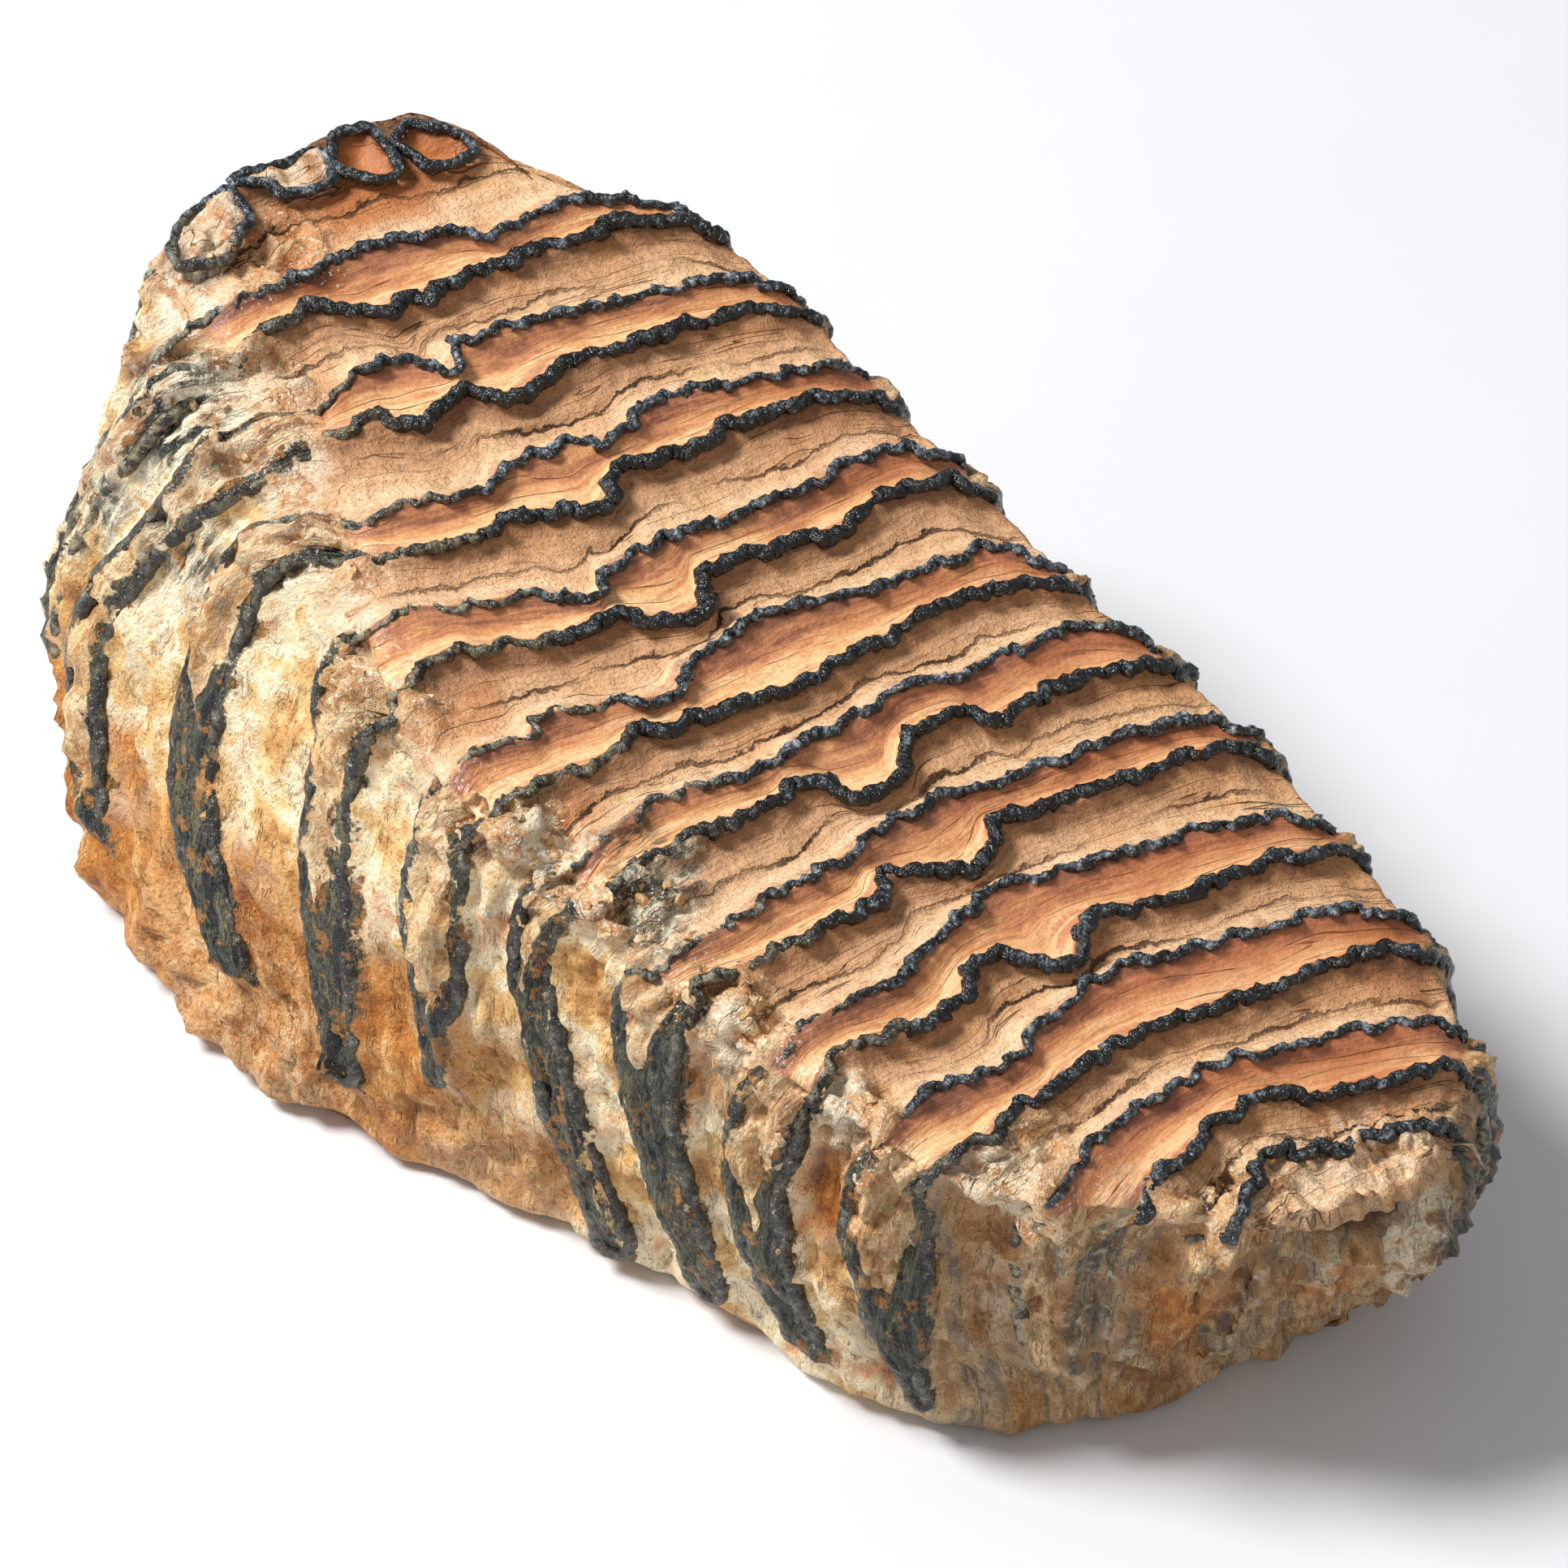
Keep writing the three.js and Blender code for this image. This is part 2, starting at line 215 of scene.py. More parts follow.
faceEdges = [(firstPlace, rearEnd), *enamelEdges.items(), (lastPlace, frontEnd)]

# Where the side walls pass: [place, shoulder x, y, waist x, y, foot x, y]
sideWalls = {
    "left": [
        [firstPlace, -83.5, -17, -85, -18, -82, -18],
        [2, -77, -24, -79, -29.5, -75, -31],
        [3, -63, -25, -67, -33, -61.5, -37],
        [4, -52.5, -26, -49.5, -34, -35, -39],
        [5, -35, -28.5, -31, -33, -22.5, -35.5],
        [6, -15, -30, -12, -31.5, -7, -29.5],
        [7, -3, -26, 0, -27, 5, -24.5],
        [8, 10.5, -24.5, 13.5, -24, 17, -20],
        [9, 25, -20, 26.5, -21, 30, -17],
        [10, 37.5, -15.5, 38.5, -16.5, 41.5, -12],
        [11, 49, -4, 49, -3.5, 50, -1.5],
        [lastPlace, 61.5, 9.5, 59.5, 10, 53.5, 11],
    ],
    "right": [
        [firstPlace, -77.5, 27.5, -81, 31.5, -78, 31.5],
        [2, -62.5, 37.5, -65, 41.5, -61, 41],
        [3, -49.5, 41, -52, 45.5, -46, 44.5],
        [4, -37, 41.5, -39, 46, -33, 45],
        [5, -23.5, 43, -25, 47, -20, 45.5],
        [6, -9, 43.5, -9, 47.5, -5, 46],
        [7, 3.5, 46, 3.5, 49, 6, 47.5],
        [8, 17, 47.5, 17.5, 50, 19, 48.5],
        [9, 30, 47, 31, 49.5, 31, 48.5],
        [10, 43.5, 46.5, 43.5, 48.5, 40.5, 47],
        [11, 56, 42, 55.5, 44.5, 49.5, 43.5],
        [lastPlace, 65, 31.5, 62, 31.5, 55, 31],
    ],
}

# How each plate runs down the left wall: [height, place of its rear edge, place of its front edge].
# Below "closes" the plate shows the outside of its enamel, above it the dentine inside.
leftPlates = {
    1: {"closes": 5, "faint": 0.3, "runs": [
        [56, 1.0, 1.02], [50, 1.03, 1.05], [44, 1.06, 1.08]]},
    2: {"closes": 36, "faint": 0.5, "runs": [
        [53, 2.15, 2.4], [50, 2.15, 2.4], [41, 2.05, 2.3], [30, 1.98, 2.2], [20, 2.0, 2.2]]},
    3: {"closes": 14, "runs": [
        [52, 2.78, 3.3], [46, 2.8, 3.1], [40, 2.75, 3.0], [34, 2.65, 2.97], [26, 2.65, 3.05],
        [20, 2.8, 3.15], [12, 3.0, 3.2]]},
    4: {"closes": 36, "runs": [
        [51, 3.68, 4.08], [45, 3.74, 4.16], [38, 3.84, 4.2], [30, 3.86, 4.2], [20, 3.94, 4.29],
        [13, 4.14, 4.42]]},
    5: {"closes": 27, "runs": [
        [47, 4.88, 5.3], [40, 5.03, 5.31], [32, 5.02, 5.32], [20, 5.08, 5.33], [9, 5.1, 5.25]]},
    6: {"closes": 27, "runs": [
        [46, 5.8, 6.12], [42, 5.86, 6.23], [35, 5.82, 6.3], [29, 5.88, 6.3], [23, 5.93, 6.15],
        [16, 5.93, 6.0]]},
    7: {"closes": 35, "runs": [
        [44, 6.75, 7.1], [36, 6.8, 7.08], [32, 6.82, 7.14], [28, 6.94, 7.24], [18, 7.03, 7.34],
        [9, 7.08, 7.36], [3, 7.1, 7.36]]},
    8: {"closes": 38, "runs": [
        [42, 7.76, 8.22], [37, 7.8, 8.3], [30, 7.9, 8.3], [20, 7.98, 8.36], [12, 7.98, 8.32],
        [4, 7.95, 8.15]]},
    9: {"closes": 27, "runs": [
        [38, 8.8, 9.24], [32, 8.76, 9.22], [27, 8.74, 9.15], [22, 8.82, 9.24], [14, 8.9, 9.24],
        [6, 8.88, 9.14]]},
    10: {"closes": 26, "runs": [
        [36, 9.77, 10.15], [31, 9.71, 10.24], [26, 9.75, 10.29], [20, 9.93, 10.35], [12, 9.98, 10.15],
        [5, 9.88, 10.02]]},
    11: {"closes": 5, "faint": 0.6, "runs": [
        [33, 10.79, 11.28], [28, 10.77, 11.15], [22, 10.8, 11.05], [12, 10.88, 11.1]]},
    12: {"closes": 5, "faint": 1.0, "runs": [
        [31, 11.8, 12.1], [27, 11.85, 12.05], [22, 11.9, 12.0]]},
}
rightPlate = {"closesBelowRim": 2.5, "halfWidth": 0.21, "endHeight": 9.0}


def edgePoints(points, across):
    # x and y of a face edge, at shares of the way from its left end to its right end
    table = np.array(points, float)
    y = table[0, 0] + across * (table[-1, 0] - table[0, 0])
    return np.stack([smoothThrough(table[:, 0], table[:, 1], y), y], -1)


def faceLevel(x, across):
    # height of the face before wear, which rolls over at both rims
    drop = sum(toothShape["rimDrop"][side] * np.clip(1 - inward / toothShape["rimRoll"], 0, 1) ** 2
               for side, inward in (("left", across), ("right", 1 - across)))
    return toothShape["faceHeight"] - toothShape["faceFall"] * x - drop


def rimAt(side, place):
    across = 0.0 if side == "left" else 1.0
    places, edges = zip(*faceEdges)
    ends = np.array([edgePoints(points, across) for points in edges])
    x, y = (np.interp(place, places, column) for column in ends.T)
    return np.stack([x, y, faceLevel(x, across)], -1)


def wallPlan(side, place):
    # x and y of a side wall's shoulder, waist and foot
    table = np.array(sideWalls[side], float)
    columns = [smoothThrough(table[:, 0], table[:, k], place) for k in range(1, 7)]
    return np.stack(columns, -1).reshape(-1, 3, 2)


def outwardAt(side, place):
    # level direction away from the tooth, from the way the waist runs
    step = 0.05
    before, after = (wallPlan(side, np.clip(place + shift, firstPlace, lastPlace))
                     for shift in (-step, step))
    along = (after - before)[:, 1]
    out = np.stack([along[:, 1], -along[:, 0]], -1) * (1 if side == "left" else -1)
    return out / np.linalg.norm(out, axis=1, keepdims=True)


waistKnot, baseKnot = 3, 6                        # the knots of a wall line count from 0 at the rim


def wallLines(rim, plan, drop, outward):
    # knots of each line down the wall: rim, over the rim, shoulder, waist, foot, curl, base
    def at(level, z, shift):
        return np.column_stack([plan[:, level] + outward * shift, np.broadcast_to(z, len(rim))])
    shoulder = at(0, rim[:, 2] - drop, 0)
    out, down = toothShape["overRim"]
    overRim = rim + out * (shoulder - rim)
    overRim[:, 2] = rim[:, 2] - down * drop
    foot = toothShape["footHeight"]
    return np.stack([rim, overRim, shoulder,
                     at(1, rim[:, 2] * toothShape["waistLevel"], 0),
                     at(2, foot, 0),
                     at(2, foot * toothShape["curlLevel"], -toothShape["footTuck"]),
                     at(2, 0, -toothShape["baseInset"])], 1)


def alongLines(lines, u):
    # Catmull-Rom curves through the knots; u counts knots from the rim
    first = 2 * lines[:, :1] - lines[:, 1:2]
    last = 2 * lines[:, -1:] - lines[:, -2:-1]
    knots = np.concatenate([first, lines, last], 1)
    i = np.clip(np.floor(u).astype(int), 0, lines.shape[1] - 2)
    t = (u - i)[None, :, None]
    p = [knots[:, i + k] for k in range(4)]
    gap = [np.sqrt(np.linalg.norm(p[k + 1] - p[k], axis=-1, keepdims=True)) + 1e-9 for k in range(3)]
    step = (p[2] - p[1]) / gap[1]
    leave = gap[1] * ((p[1] - p[0]) / gap[0] - (p[2] - p[0]) / (gap[0] + gap[1]) + step)
    reach = gap[1] * (step - (p[3] - p[1]) / (gap[1] + gap[2]) + (p[3] - p[2]) / gap[2])
    return (p[1] + leave * t + (3 * (p[2] - p[1]) - 2 * leave - reach) * t ** 2
            + (2 * (p[1] - p[2]) + leave + reach) * t ** 3)


def sideWallLines(side, place):
    return wallLines(rimAt(side, place), wallPlan(side, place), toothShape["shoulderDrop"][side],
                     outwardAt(side, place))


def wallPoints(side, place, height):
    # points of a side wall, each at its own place and height
    steps = np.linspace(0, baseKnot, 241)
    lines = alongLines(sideWallLines(side, place), steps)
    found = np.empty((len(place), 3))
    for k, line in enumerate(lines):
        u = np.interp(-height[k], -line[:, 2], np.arange(len(steps)))
        for axis in range(3):
            found[k, axis] = np.interp(u, np.arange(len(steps)), line[:, axis])
    return found


def plateRun(side, plate, rimHeight, height):
    # places of a plate's rear and front edge at that height on a side wall
    rear = max(plate - halfPlate, firstPlace) if plate != 12 else lastPlateRear
    front = plate + halfPlate
    if side == "right":
        down = smoothStep(0, 8, rimHeight - height)
        wide = rightPlate["halfWidth"]
        return rear + down * (plate - wide - rear), front + down * (plate + wide - front)
    table = np.array(leftPlates[plate]["runs"][::-1], float)
    knots = np.append(table[:, 0], table[-1, 0] + 4)
    rearRun = smoothThrough(knots, np.append(table[:, 1], rear), height)
    frontRun = smoothThrough(knots, np.append(table[:, 2], front), height)
    return rearRun, frontRun


# The datum moves this drawing to the frame: its undisplaced walls reach the same x and y as the solid.
def toFrame(points):
    return (points + datum) * mm


# body: cement and dentine in one skin

bodyMesh = {
    "name": "tooth_body",
    "rowStep": 0.47, "acrossSteps": 128,          # along the tooth, and across it
    "wallSteps": (4, 7, 17, 19, 4, 3),            # between the knots of a wall line
    "dentineDepth": 0.95, "dentineShore": 1.5,
    "cementDepth": 1.45, "cementShore": 3.0,
    "crackDepth": 0.5, "crackWidth": 0.3,
    "ringShore": 2.5,
    "stepHeight": 0.2,                            # between the two sides of a crack
    "lastPlate": (0.55, 0.15, 0.8),               # how crumbled and bleached it is, and its drop
    "plateProud": 1.1,                            # how far a plate stands out of the side walls
    "grit": 0.24, "wallGrit": 0.3, "wallPits": 0.35, "layers": 0.24, "dentineLayers": 0.12,
    "dentineGrit": 0.05, "flakes": 1.5, "creases": 1.3, "folds": 1.3, "crumble": 2.3,
    "fibres": 0.18, "enamelFibres": 0.4, "grainStretch": 0.12, "core": 1.7, "coreRise": 0.3,
    "frontLumps": 4.4, "frontFlakes": 1.0, "frontBreaks": 1.1, "frontHollow": 1.5,
    "ledge": 0.9, "groove": 1.3, "ribGrit": 0.6, "raggedFoot": 2.0,
}
# Where a plate shows on a side wall, in millimetres: the half width of its enamel lines, how its two
# edges close to one black band in a ragged V, how much faint enamel fades, and the reach in places
plateBand = {"line": 0.95, "blur": 1.5, "waver": 3.0, "rise": 5.5, "slope": 3.6, "skin": 0.5, "fade": 1.6,
             "reach": 0.6}
outsideShell, farFromGap = -5.0, 9.0              # "shell" and "gapAt" where there is none near

# Rings of the least worn plate, at the rear end: kind of filling and [y, x] points round the enamel
rearRings = [
    {"fill": "rust", "points": [
        [7, -84.5], [8.5, -87], [10.5, -87.5], [12.5, -87], [13, -85], [13, -83], [12.5, -81],
        [11, -80], [8.5, -81.5], [7, -83.5]]},
    {"fill": "rust", "points": [
        [14, -84], [16, -85], [17, -85.5], [18.5, -84], [20.5, -82.5], [21, -80], [20, -79], [18, -79],
        [15.5, -79.5], [14.5, -81.5]]},
    {"fill": "cream", "points": [
        [-3.5, -87], [-2, -87.5], [0, -87], [3, -86.8], [6.5, -86.5], [6.5, -84], [5, -82.5],
        [3, -82.5], [0.5, -83], [0, -84], [-0.5, -85.5]]},
    {"fill": "cream", "points": [
        [-4.5, -86.2], [-7.5, -86], [-11.5, -84.6], [-13, -83.2], [-14.2, -81.8], [-14.2, -80.3],
        [-12.5, -79.6], [-10, -79], [-7, -81], [-5, -82], [-4.5, -84]]},
]
# how high each filling stands in the middle, and what it is
ringFills = {
    "rust": (-1.8, {"dentine": 1, "cup": 1, "rust": 1, "crumble": 0}),
    "cream": (0.7, {"dentine": 0, "cup": 0, "bleach": 0.5, "crumble": 0.3}),
}


def faceRows():
    # rows of the face: the edges before and after each, how far between them it is, whether that is
    # inside a plate, and the places of the two edges
    rows = []
    for (place, points), (nextPlace, nextPoints) in zip(faceEdges[:-1], faceEdges[1:]):
        inPlate = round(place) == round(nextPlace) and nextPlace - place < 0.5
        rear, front = (edgePoints(edge, np.linspace(0, 1, 9))[:, 0] for edge in (points, nextPoints))
        count = max(3, round(np.mean(front - rear) / bodyMesh["rowStep"]))
        for k in range(count):
            rows.append((points, nextPoints, k / count, inPlate, place, nextPlace))
    rows.append((frontEnd, frontEnd, 0.0, True, lastPlace, lastPlace))
    return rows


def terraces(noise, count):
    # turns smooth noise into flaky steps
    raised = noise * count
    step = np.floor(raised)
    return (step + smoothStep(0.55, 1.0, raised - step)) / count


def ringReach(points, x, y):
    # which spots are inside the ring, and how far each is from its outline
    table = np.array(points, float)
    inside, nearest = np.zeros(x.shape, bool), np.full(x.shape, 1e9)
    for (ay, ax), (by, bx) in zip(table, np.roll(table, -1, axis=0)):
        dx, dy = bx - ax, by - ay
        with np.errstate(divide="ignore", invalid="ignore"):
            inside ^= ((ay > y) != (by > y)) & (x < dx * (y - ay) / dy + ax)
        t = np.clip(((x - ax) * dx + (y - ay) * dy) / (dx * dx + dy * dy), 0, 1)
        nearest = np.minimum(nearest, np.hypot(x - ax - t * dx, y - ay - t * dy))
    return inside, nearest


def makeFaceGrid():
    rows = faceRows()
    across = np.linspace(0, 1, bodyMesh["acrossSteps"] + 1)
    shape = (len(rows), len(across))
    x, y, relief = np.zeros(shape), np.zeros(shape), np.zeros(shape)
    names = ("dentine", "strip", "gapAt", "gape", "place", "rust", "bleach", "crumble", "cup")
    fields = {name: np.zeros(shape) for name in names}
    fields["gapAt"] += farFromGap
    rim = np.clip(across / 0.05, 0, 1) * np.clip((1 - across) / 0.03, 0, 1)    # 0 at both rims
    for r, (points, nextPoints, t, inPlate, place, nextPlace) in enumerate(rows):
        rear, front = edgePoints(points, across), edgePoints(nextPoints, across)
        both = rear + t * (front - rear)
        x[r], y[r] = both[:, 0], both[:, 1]
        width = np.maximum(front[:, 0] - rear[:, 0], 0.1)
        fromRear, fromFront = t * width, (1 - t) * width
        fields["place"][r] = place + t * (nextPlace - place)
        fields["strip"][r] = t
        if inPlate and place < lastPlateRear:
            # dentine, hollowed between the plate's two edges
            shore = bodyMesh["dentineShore"]
            sunk = (1 - np.exp(-(fromRear / shore) ** 2)) * (1 - np.exp(-(fromFront / shore) ** 2))
            relief[r] = -bodyMesh["dentineDepth"] * sunk / 0.75
            fields["dentine"][r] = 1
            continue
        if inPlate:
            # the last plate has crumbled
            fields["crumble"][r], fields["bleach"][r], drop = bodyMesh["lastPlate"]
            relief[r] = -drop * smoothStep(0, 1.5, fromRear)
            continue
        # cement, with its own crack along the middle, which gapes in places
        seam = np.column_stack([np.zeros(len(across)), both[:, 1], np.full(len(across), place * 40)])
        shore = bodyMesh["cementShore"]
        sunk = smoothStep(0, 0.6 * shore, fromRear) * smoothStep(0, shore, fromFront)
        wander = 0.5 + 0.15 * lumps(seam, 11, 5) + 0.06 * lumps(seam, 3.5, 6)
        fields["gapAt"][r] = (t - wander) * width
        gape = np.clip(0.65 + 1.2 * lumps(seam, 10, 7), 0, 1)
        crack = np.exp(-(fields["gapAt"][r] / bodyMesh["crackWidth"]) ** 2) * gape
        step = bodyMesh["stepHeight"] * np.tanh(-fields["gapAt"][r] / 0.4) * gape
        relief[r] = -bodyMesh["cementDepth"] * sunk - bodyMesh["crackDepth"] * crack + step * sunk
        fields["gape"][r] = gape * rim
    relief *= rim
    for ring in rearRings:
        inside, nearest = ringReach(ring["points"], x, y)
        middle = np.clip(nearest / bodyMesh["ringShore"], 0, 1) ** 0.7
        height, filling = ringFills[ring["fill"]]
        relief = np.where(inside, height * middle, relief)
        for name, value in {**filling, "gape": 0, "strip": (0.15 + 0.45 * middle)[inside]}.items():
            fields[name][inside] = value
    z = faceLevel(x, across[None, :]) + relief
    return np.stack([x, y, z], -1), fields


def endLines(end, rim):
    # lines down the rear or front wall, which bows between its corners
    front = end == "front"
    first, last = (wallPlan(side, np.array([lastPlace if front else firstPlace]))[0]
                   for side in (("left", "right") if front else ("right", "left")))
    t = np.linspace(0, 1, len(rim) + 1)[:-1, None, None]
    plan = first + t * (last - first)
    plan[..., 0] += np.array(toothShape["endBow"][end]) * (4 * t * (1 - t))[..., 0]
    outward = np.tile([1.0 if front else -1.0, 0.0], (len(plan), 1))
    return wallLines(rim, plan, toothShape["shoulderDrop"][end], outward)


def plateFields(wall, rimHeight, stationPlace, stationSide):
    # on the walls: how far inside black enamel a point is, in millimetres, how far in the dentine core
    # of an open plate, and how far the plate stands out there
    shell = np.full(wall.shape[:2], outsideShell)
    core, proud = np.zeros(wall.shape[:2]), np.zeros(wall.shape[:2])
    waver = lumps(wall.reshape(-1, 3), 3.0, 31, 2).reshape(wall.shape[:2])
    for side, sideIndex in (("left", 0), ("right", 2)):
        mine = stationSide == sideIndex
        height, wobble, rim = wall[mine][..., 2], waver[mine], rimHeight[mine][:, None]
        at = np.repeat(stationPlace[mine][:, None], wall.shape[1], 1)
        for plate, look in leftPlates.items():
            rear, front = plateRun(side, plate, rim, height)
            end, closes, faint = look["runs"][-1][0], look["closes"], look.get("faint", 0)
            if side == "right":
                end, closes, faint = rightPlate["endHeight"], rim - rightPlate["closesBelowRim"], 0
            inner = np.minimum(np.minimum(at - rear, front - at) * plateSpread, height - end)
            near = np.abs(at - plate) < plateBand["reach"]
            vee = (closes - height + plateBand["waver"] * wobble + plateBand["rise"]
                   - plateBand["slope"] * inner)
            closed = smoothStep(-plateBand["blur"], plateBand["blur"], vee)
            line = plateBand["line"] - np.abs(inner)
            black = line + closed * (inner + plateBand["skin"] - line) * (inner > 0)
            black = np.where(near, black - faint * plateBand["fade"], outsideShell)
            shell[mine] = np.maximum(shell[mine], black)
            core[mine] = np.maximum(core[mine], smoothStep(0.2, 0.9, inner) * (1 - closed) * near)
            stands = (smoothStep(-2.5, 0.8, inner + 0.5 * wobble) - 0.5) * 2
            proud[mine] = np.where(near, bodyMesh["plateProud"] * stands, proud[mine])
    return {"shell": shell, "core": core, "proud": proud}


def makeBody():
    # points, faces and fields of the whole skin: the face grid, a ring of wall lines and the base
    face, fields = makeFaceGrid()
    rowCount, columnCount = face.shape[:2]
    index = np.arange(rowCount * columnCount).reshape(rowCount, columnCount)
    place = fields["place"][:, 0]

    # stations round the rim, anticlockwise from above: left, front, right, rear
    ring = np.concatenate([index[:-1, 0], index[-1, :-1], index[:0:-1, -1], index[0, :0:-1]])
    parts = [rowCount - 1, columnCount - 1] * 2
    stationSide = np.repeat([0, 1, 2, 3], parts)
    stationPlace = np.concatenate([place[:-1], np.full(parts[1], lastPlace), place[:0:-1],
                                   np.full(parts[3], firstPlace)])
    smooth = face.copy()
    smooth[..., 2] = faceLevel(face[..., 0], np.linspace(0, 1, columnCount)[None, :])
    lines = np.concatenate([sideWallLines("left", place[:-1]), endLines("front", smooth[-1, :-1]),
                            sideWallLines("right", place[:0:-1]), endLines("rear", smooth[0, :0:-1])])
    u = np.concatenate([np.linspace(k, k + 1, steps, endpoint=False)
                        for k, steps in enumerate(bodyMesh["wallSteps"])] + [[baseKnot]])[1:]
    wall = alongLines(lines, u)

    levels = wall.shape[1]
    wallIndex = index.size + np.arange(len(ring) * levels).reshape(len(ring), levels)
    middle = [[*toothShape["baseMiddle"], 0.0]]
    points = np.concatenate([face.reshape(-1, 3), wall.reshape(-1, 3), middle])
    full = np.concatenate([ring[:, None], wallIndex], 1)
    after = np.roll(full, -1, axis=0)
    faces = [np.stack(corners, -1).reshape(-1, len(corners)) for corners in (
        (index[:-1, :-1], index[1:, :-1], index[1:, 1:], index[:-1, 1:]),
        (full[:, :-1], full[:, 1:], after[:, 1:], after[:, :-1]),
        (full[:, -1], np.full(len(ring), len(points) - 1), after[:, -1]))]

    # millimetres across the grain, which runs along the plates and down the walls
    flow = plateSpread * stationPlace[:, None] + np.zeros_like(wall[..., 0])
    for side, sign in ((1, 1), (3, -1)):
        mine = stationSide == side
        y = wall[mine][..., 1]
        flow[mine] += sign * np.minimum(np.abs(y - y[0]), np.abs(y - y[-1]))

    wallFields = plateFields(wall, lines[:, 0, 2], stationPlace, stationSide)
    wallFields["proud"] *= smoothStep(0, 0.8, u) * (1 - smoothStep(4.2, 5.6, u))
    wallFields.update(place=stationPlace[:, None], gapAt=farFromGap, strip=0.35, flow=flow, across=0.5,
                      wall=smoothStep(0, 1.5, u), side=stationSide[:, None], down=u)
    fields.update(flow=plateSpread * fields["place"], across=np.linspace(0, 1, columnCount),
                  side=-1.0, shell=outsideShell)
    baseFields = {"across": 0.5, "wall": 1.0, "side": -1.0, "down": baseKnot}
    everything = {}
    for name in {**fields, **wallFields}:
        onFace = np.broadcast_to(fields.get(name, 0.0), face.shape[:2])
        onWall = np.broadcast_to(wallFields.get(name, 0.0), wall.shape[:2])
        everything[name] = np.concatenate([onFace.ravel(), onWall.ravel(), [baseFields.get(name, 0.0)]])
    return points, faces, everything


def vertexNormals(points, faces):
    normals = np.zeros_like(points)
    for group in faces:
        a, b, c = points[group[:, 0]], points[group[:, 1]], points[group[:, 2]]
        d = points[group[:, -1]]
        flat = np.cross(b - a, c - a) + (np.cross(c - a, d - a) if group.shape[1] == 4 else 0)
        for k in range(group.shape[1]):
            np.add.at(normals, group[:, k], flat)
    return normals / (np.linalg.norm(normals, axis=1, keepdims=True) + 1e-12)


# Soft patches in the drawing's own millimetres: centre, reach and strength
patches = {
    "bleach": [
        ((-67, -22, 53), (11, 9, 9), 1.0), ((-72, -27, 45), (7, 8, 9), 1.0),
        ((-60, -27, 43), (6, 6, 8), 0.8), ((-50, -24, 50), (6, 6, 5), 0.7),
        ((-57, -18, 55), (5, 4, 4), 0.7), ((-38, -24, 50), (6, 5, 4), 0.6),
        ((-20, -29, 44), (7, 4, 5), 0.5), ((-3, -22, 46), (7, 6, 4), 0.7),
        ((5, -18, 45), (5, 5, 3), 0.6), ((31, -17, 39), (4, 4, 4), 0.8),
        ((19, -22, 41), (4, 4, 4), 0.6), ((45, -9, 36), (4, 5, 4), 0.5),
        ((59, 20, 36), (5, 9, 3), 0.25), ((-78, -15, 58), (5, 5, 4), 0.8),
        ((54, -8, 20), (9, 2.2, 15), 0.8), ((64, 29, 22), (9, 3, 9), 0.6)],
    "rust": [
        ((-80, 6, 61), (5, 20, 4), 0.9), ((-77, -4, 61), (6, 7, 4), 0.9),
        ((-62, -12, 57), (5, 4, 3), 0.6), ((-38, -36, 20), (8, 6, 9), 0.8),
        ((-33, -35, 8), (16, 8, 7), 1.0), ((-16, -31, 10), (9, 6, 8), 1.0),
        ((-2, -27, 8), (8, 6, 7), 0.9), ((-24, -21, 48), (6, 5, 3), 0.6),
        ((33, -19, 29), (4, 5, 7), 1.0), ((19, -22, 36), (5, 5, 5), 0.6),
        ((-8, -20, 47), (5, 5, 3), 0.7), ((44, 40, 40), (9, 8, 4), 0.6),
        ((56, 28, 36), (6, 7, 3), 0.5), ((-30, 30, 53), (14, 9, 3), 0.3),
        ((60, 5, 17), (9, 3.5, 12), 1.0), ((65, 19, 20), (9, 3, 4), 0.9), ((64, 14, 8), (9, 6, 5), 0.6)],
    "ash": [
        ((-70, -21, 52), (8, 6, 8), 1.0), ((-76, -28, 40), (4, 4, 8), 0.9),
        ((-62, -28, 46), (6, 5, 7), 0.9), ((2, -16, 47), (9, 6, 5), 0.9),
        ((7, -20, 40), (6, 5, 8), 0.8), ((50, 0, 28), (6, 6, 8), 0.7),
        ((63, 9.5, 17), (9, 1.2, 14), 0.5), ((57, -1.5, 22), (9, 2.5, 12), 0.75),
        ((62, 33, 25), (4, 4, 12), 0.9), ((54, 3, 12), (6, 6, 7), 0.5), ((20, -22, 30), (4, 4, 8), 0.5)],
    "crumble": [
        ((-77, -6, 61), (7, 9, 4), 0.7), ((-65, -18, 56), (10, 8, 7), 0.7),
        ((-45, -21, 52), (9, 6, 5), 0.6), ((-30, -25, 48), (9, 6, 5), 0.8),
        ((-8, -24, 46), (10, 6, 5), 1.0), ((4, -20, 45), (8, 6, 4), 0.9),
        ((18, -20, 42), (8, 6, 5), 0.9), ((32, -16, 38), (8, 5, 5), 0.9),
        ((46, -6, 36), (8, 7, 5), 0.8), ((58, 10, 34), (6, 9, 5), 0.7), ((60, 24, 34), (5, 9, 4), 0.6),
        ((-35, -36, 8), (22, 8, 9), 0.7), ((-5, -28, 7), (14, 7, 7), 0.6),
        ((55, 22, 4), (8, 18, 6), 0.4)],
}


# The front wall, in millimetres: across the tooth, where its smooth ledge begins and ends; below the
# face, its lip and groove with the width of each, and where its hollow begins and ends
frontWall = {"ledgeFrom": (9, 13), "ledgeTo": (29, 33), "lip": (2.0, 1.6), "groove": (4.6, 0.8),
             "hollowFrom": (2, 6), "hollowTo": (18, 30)}
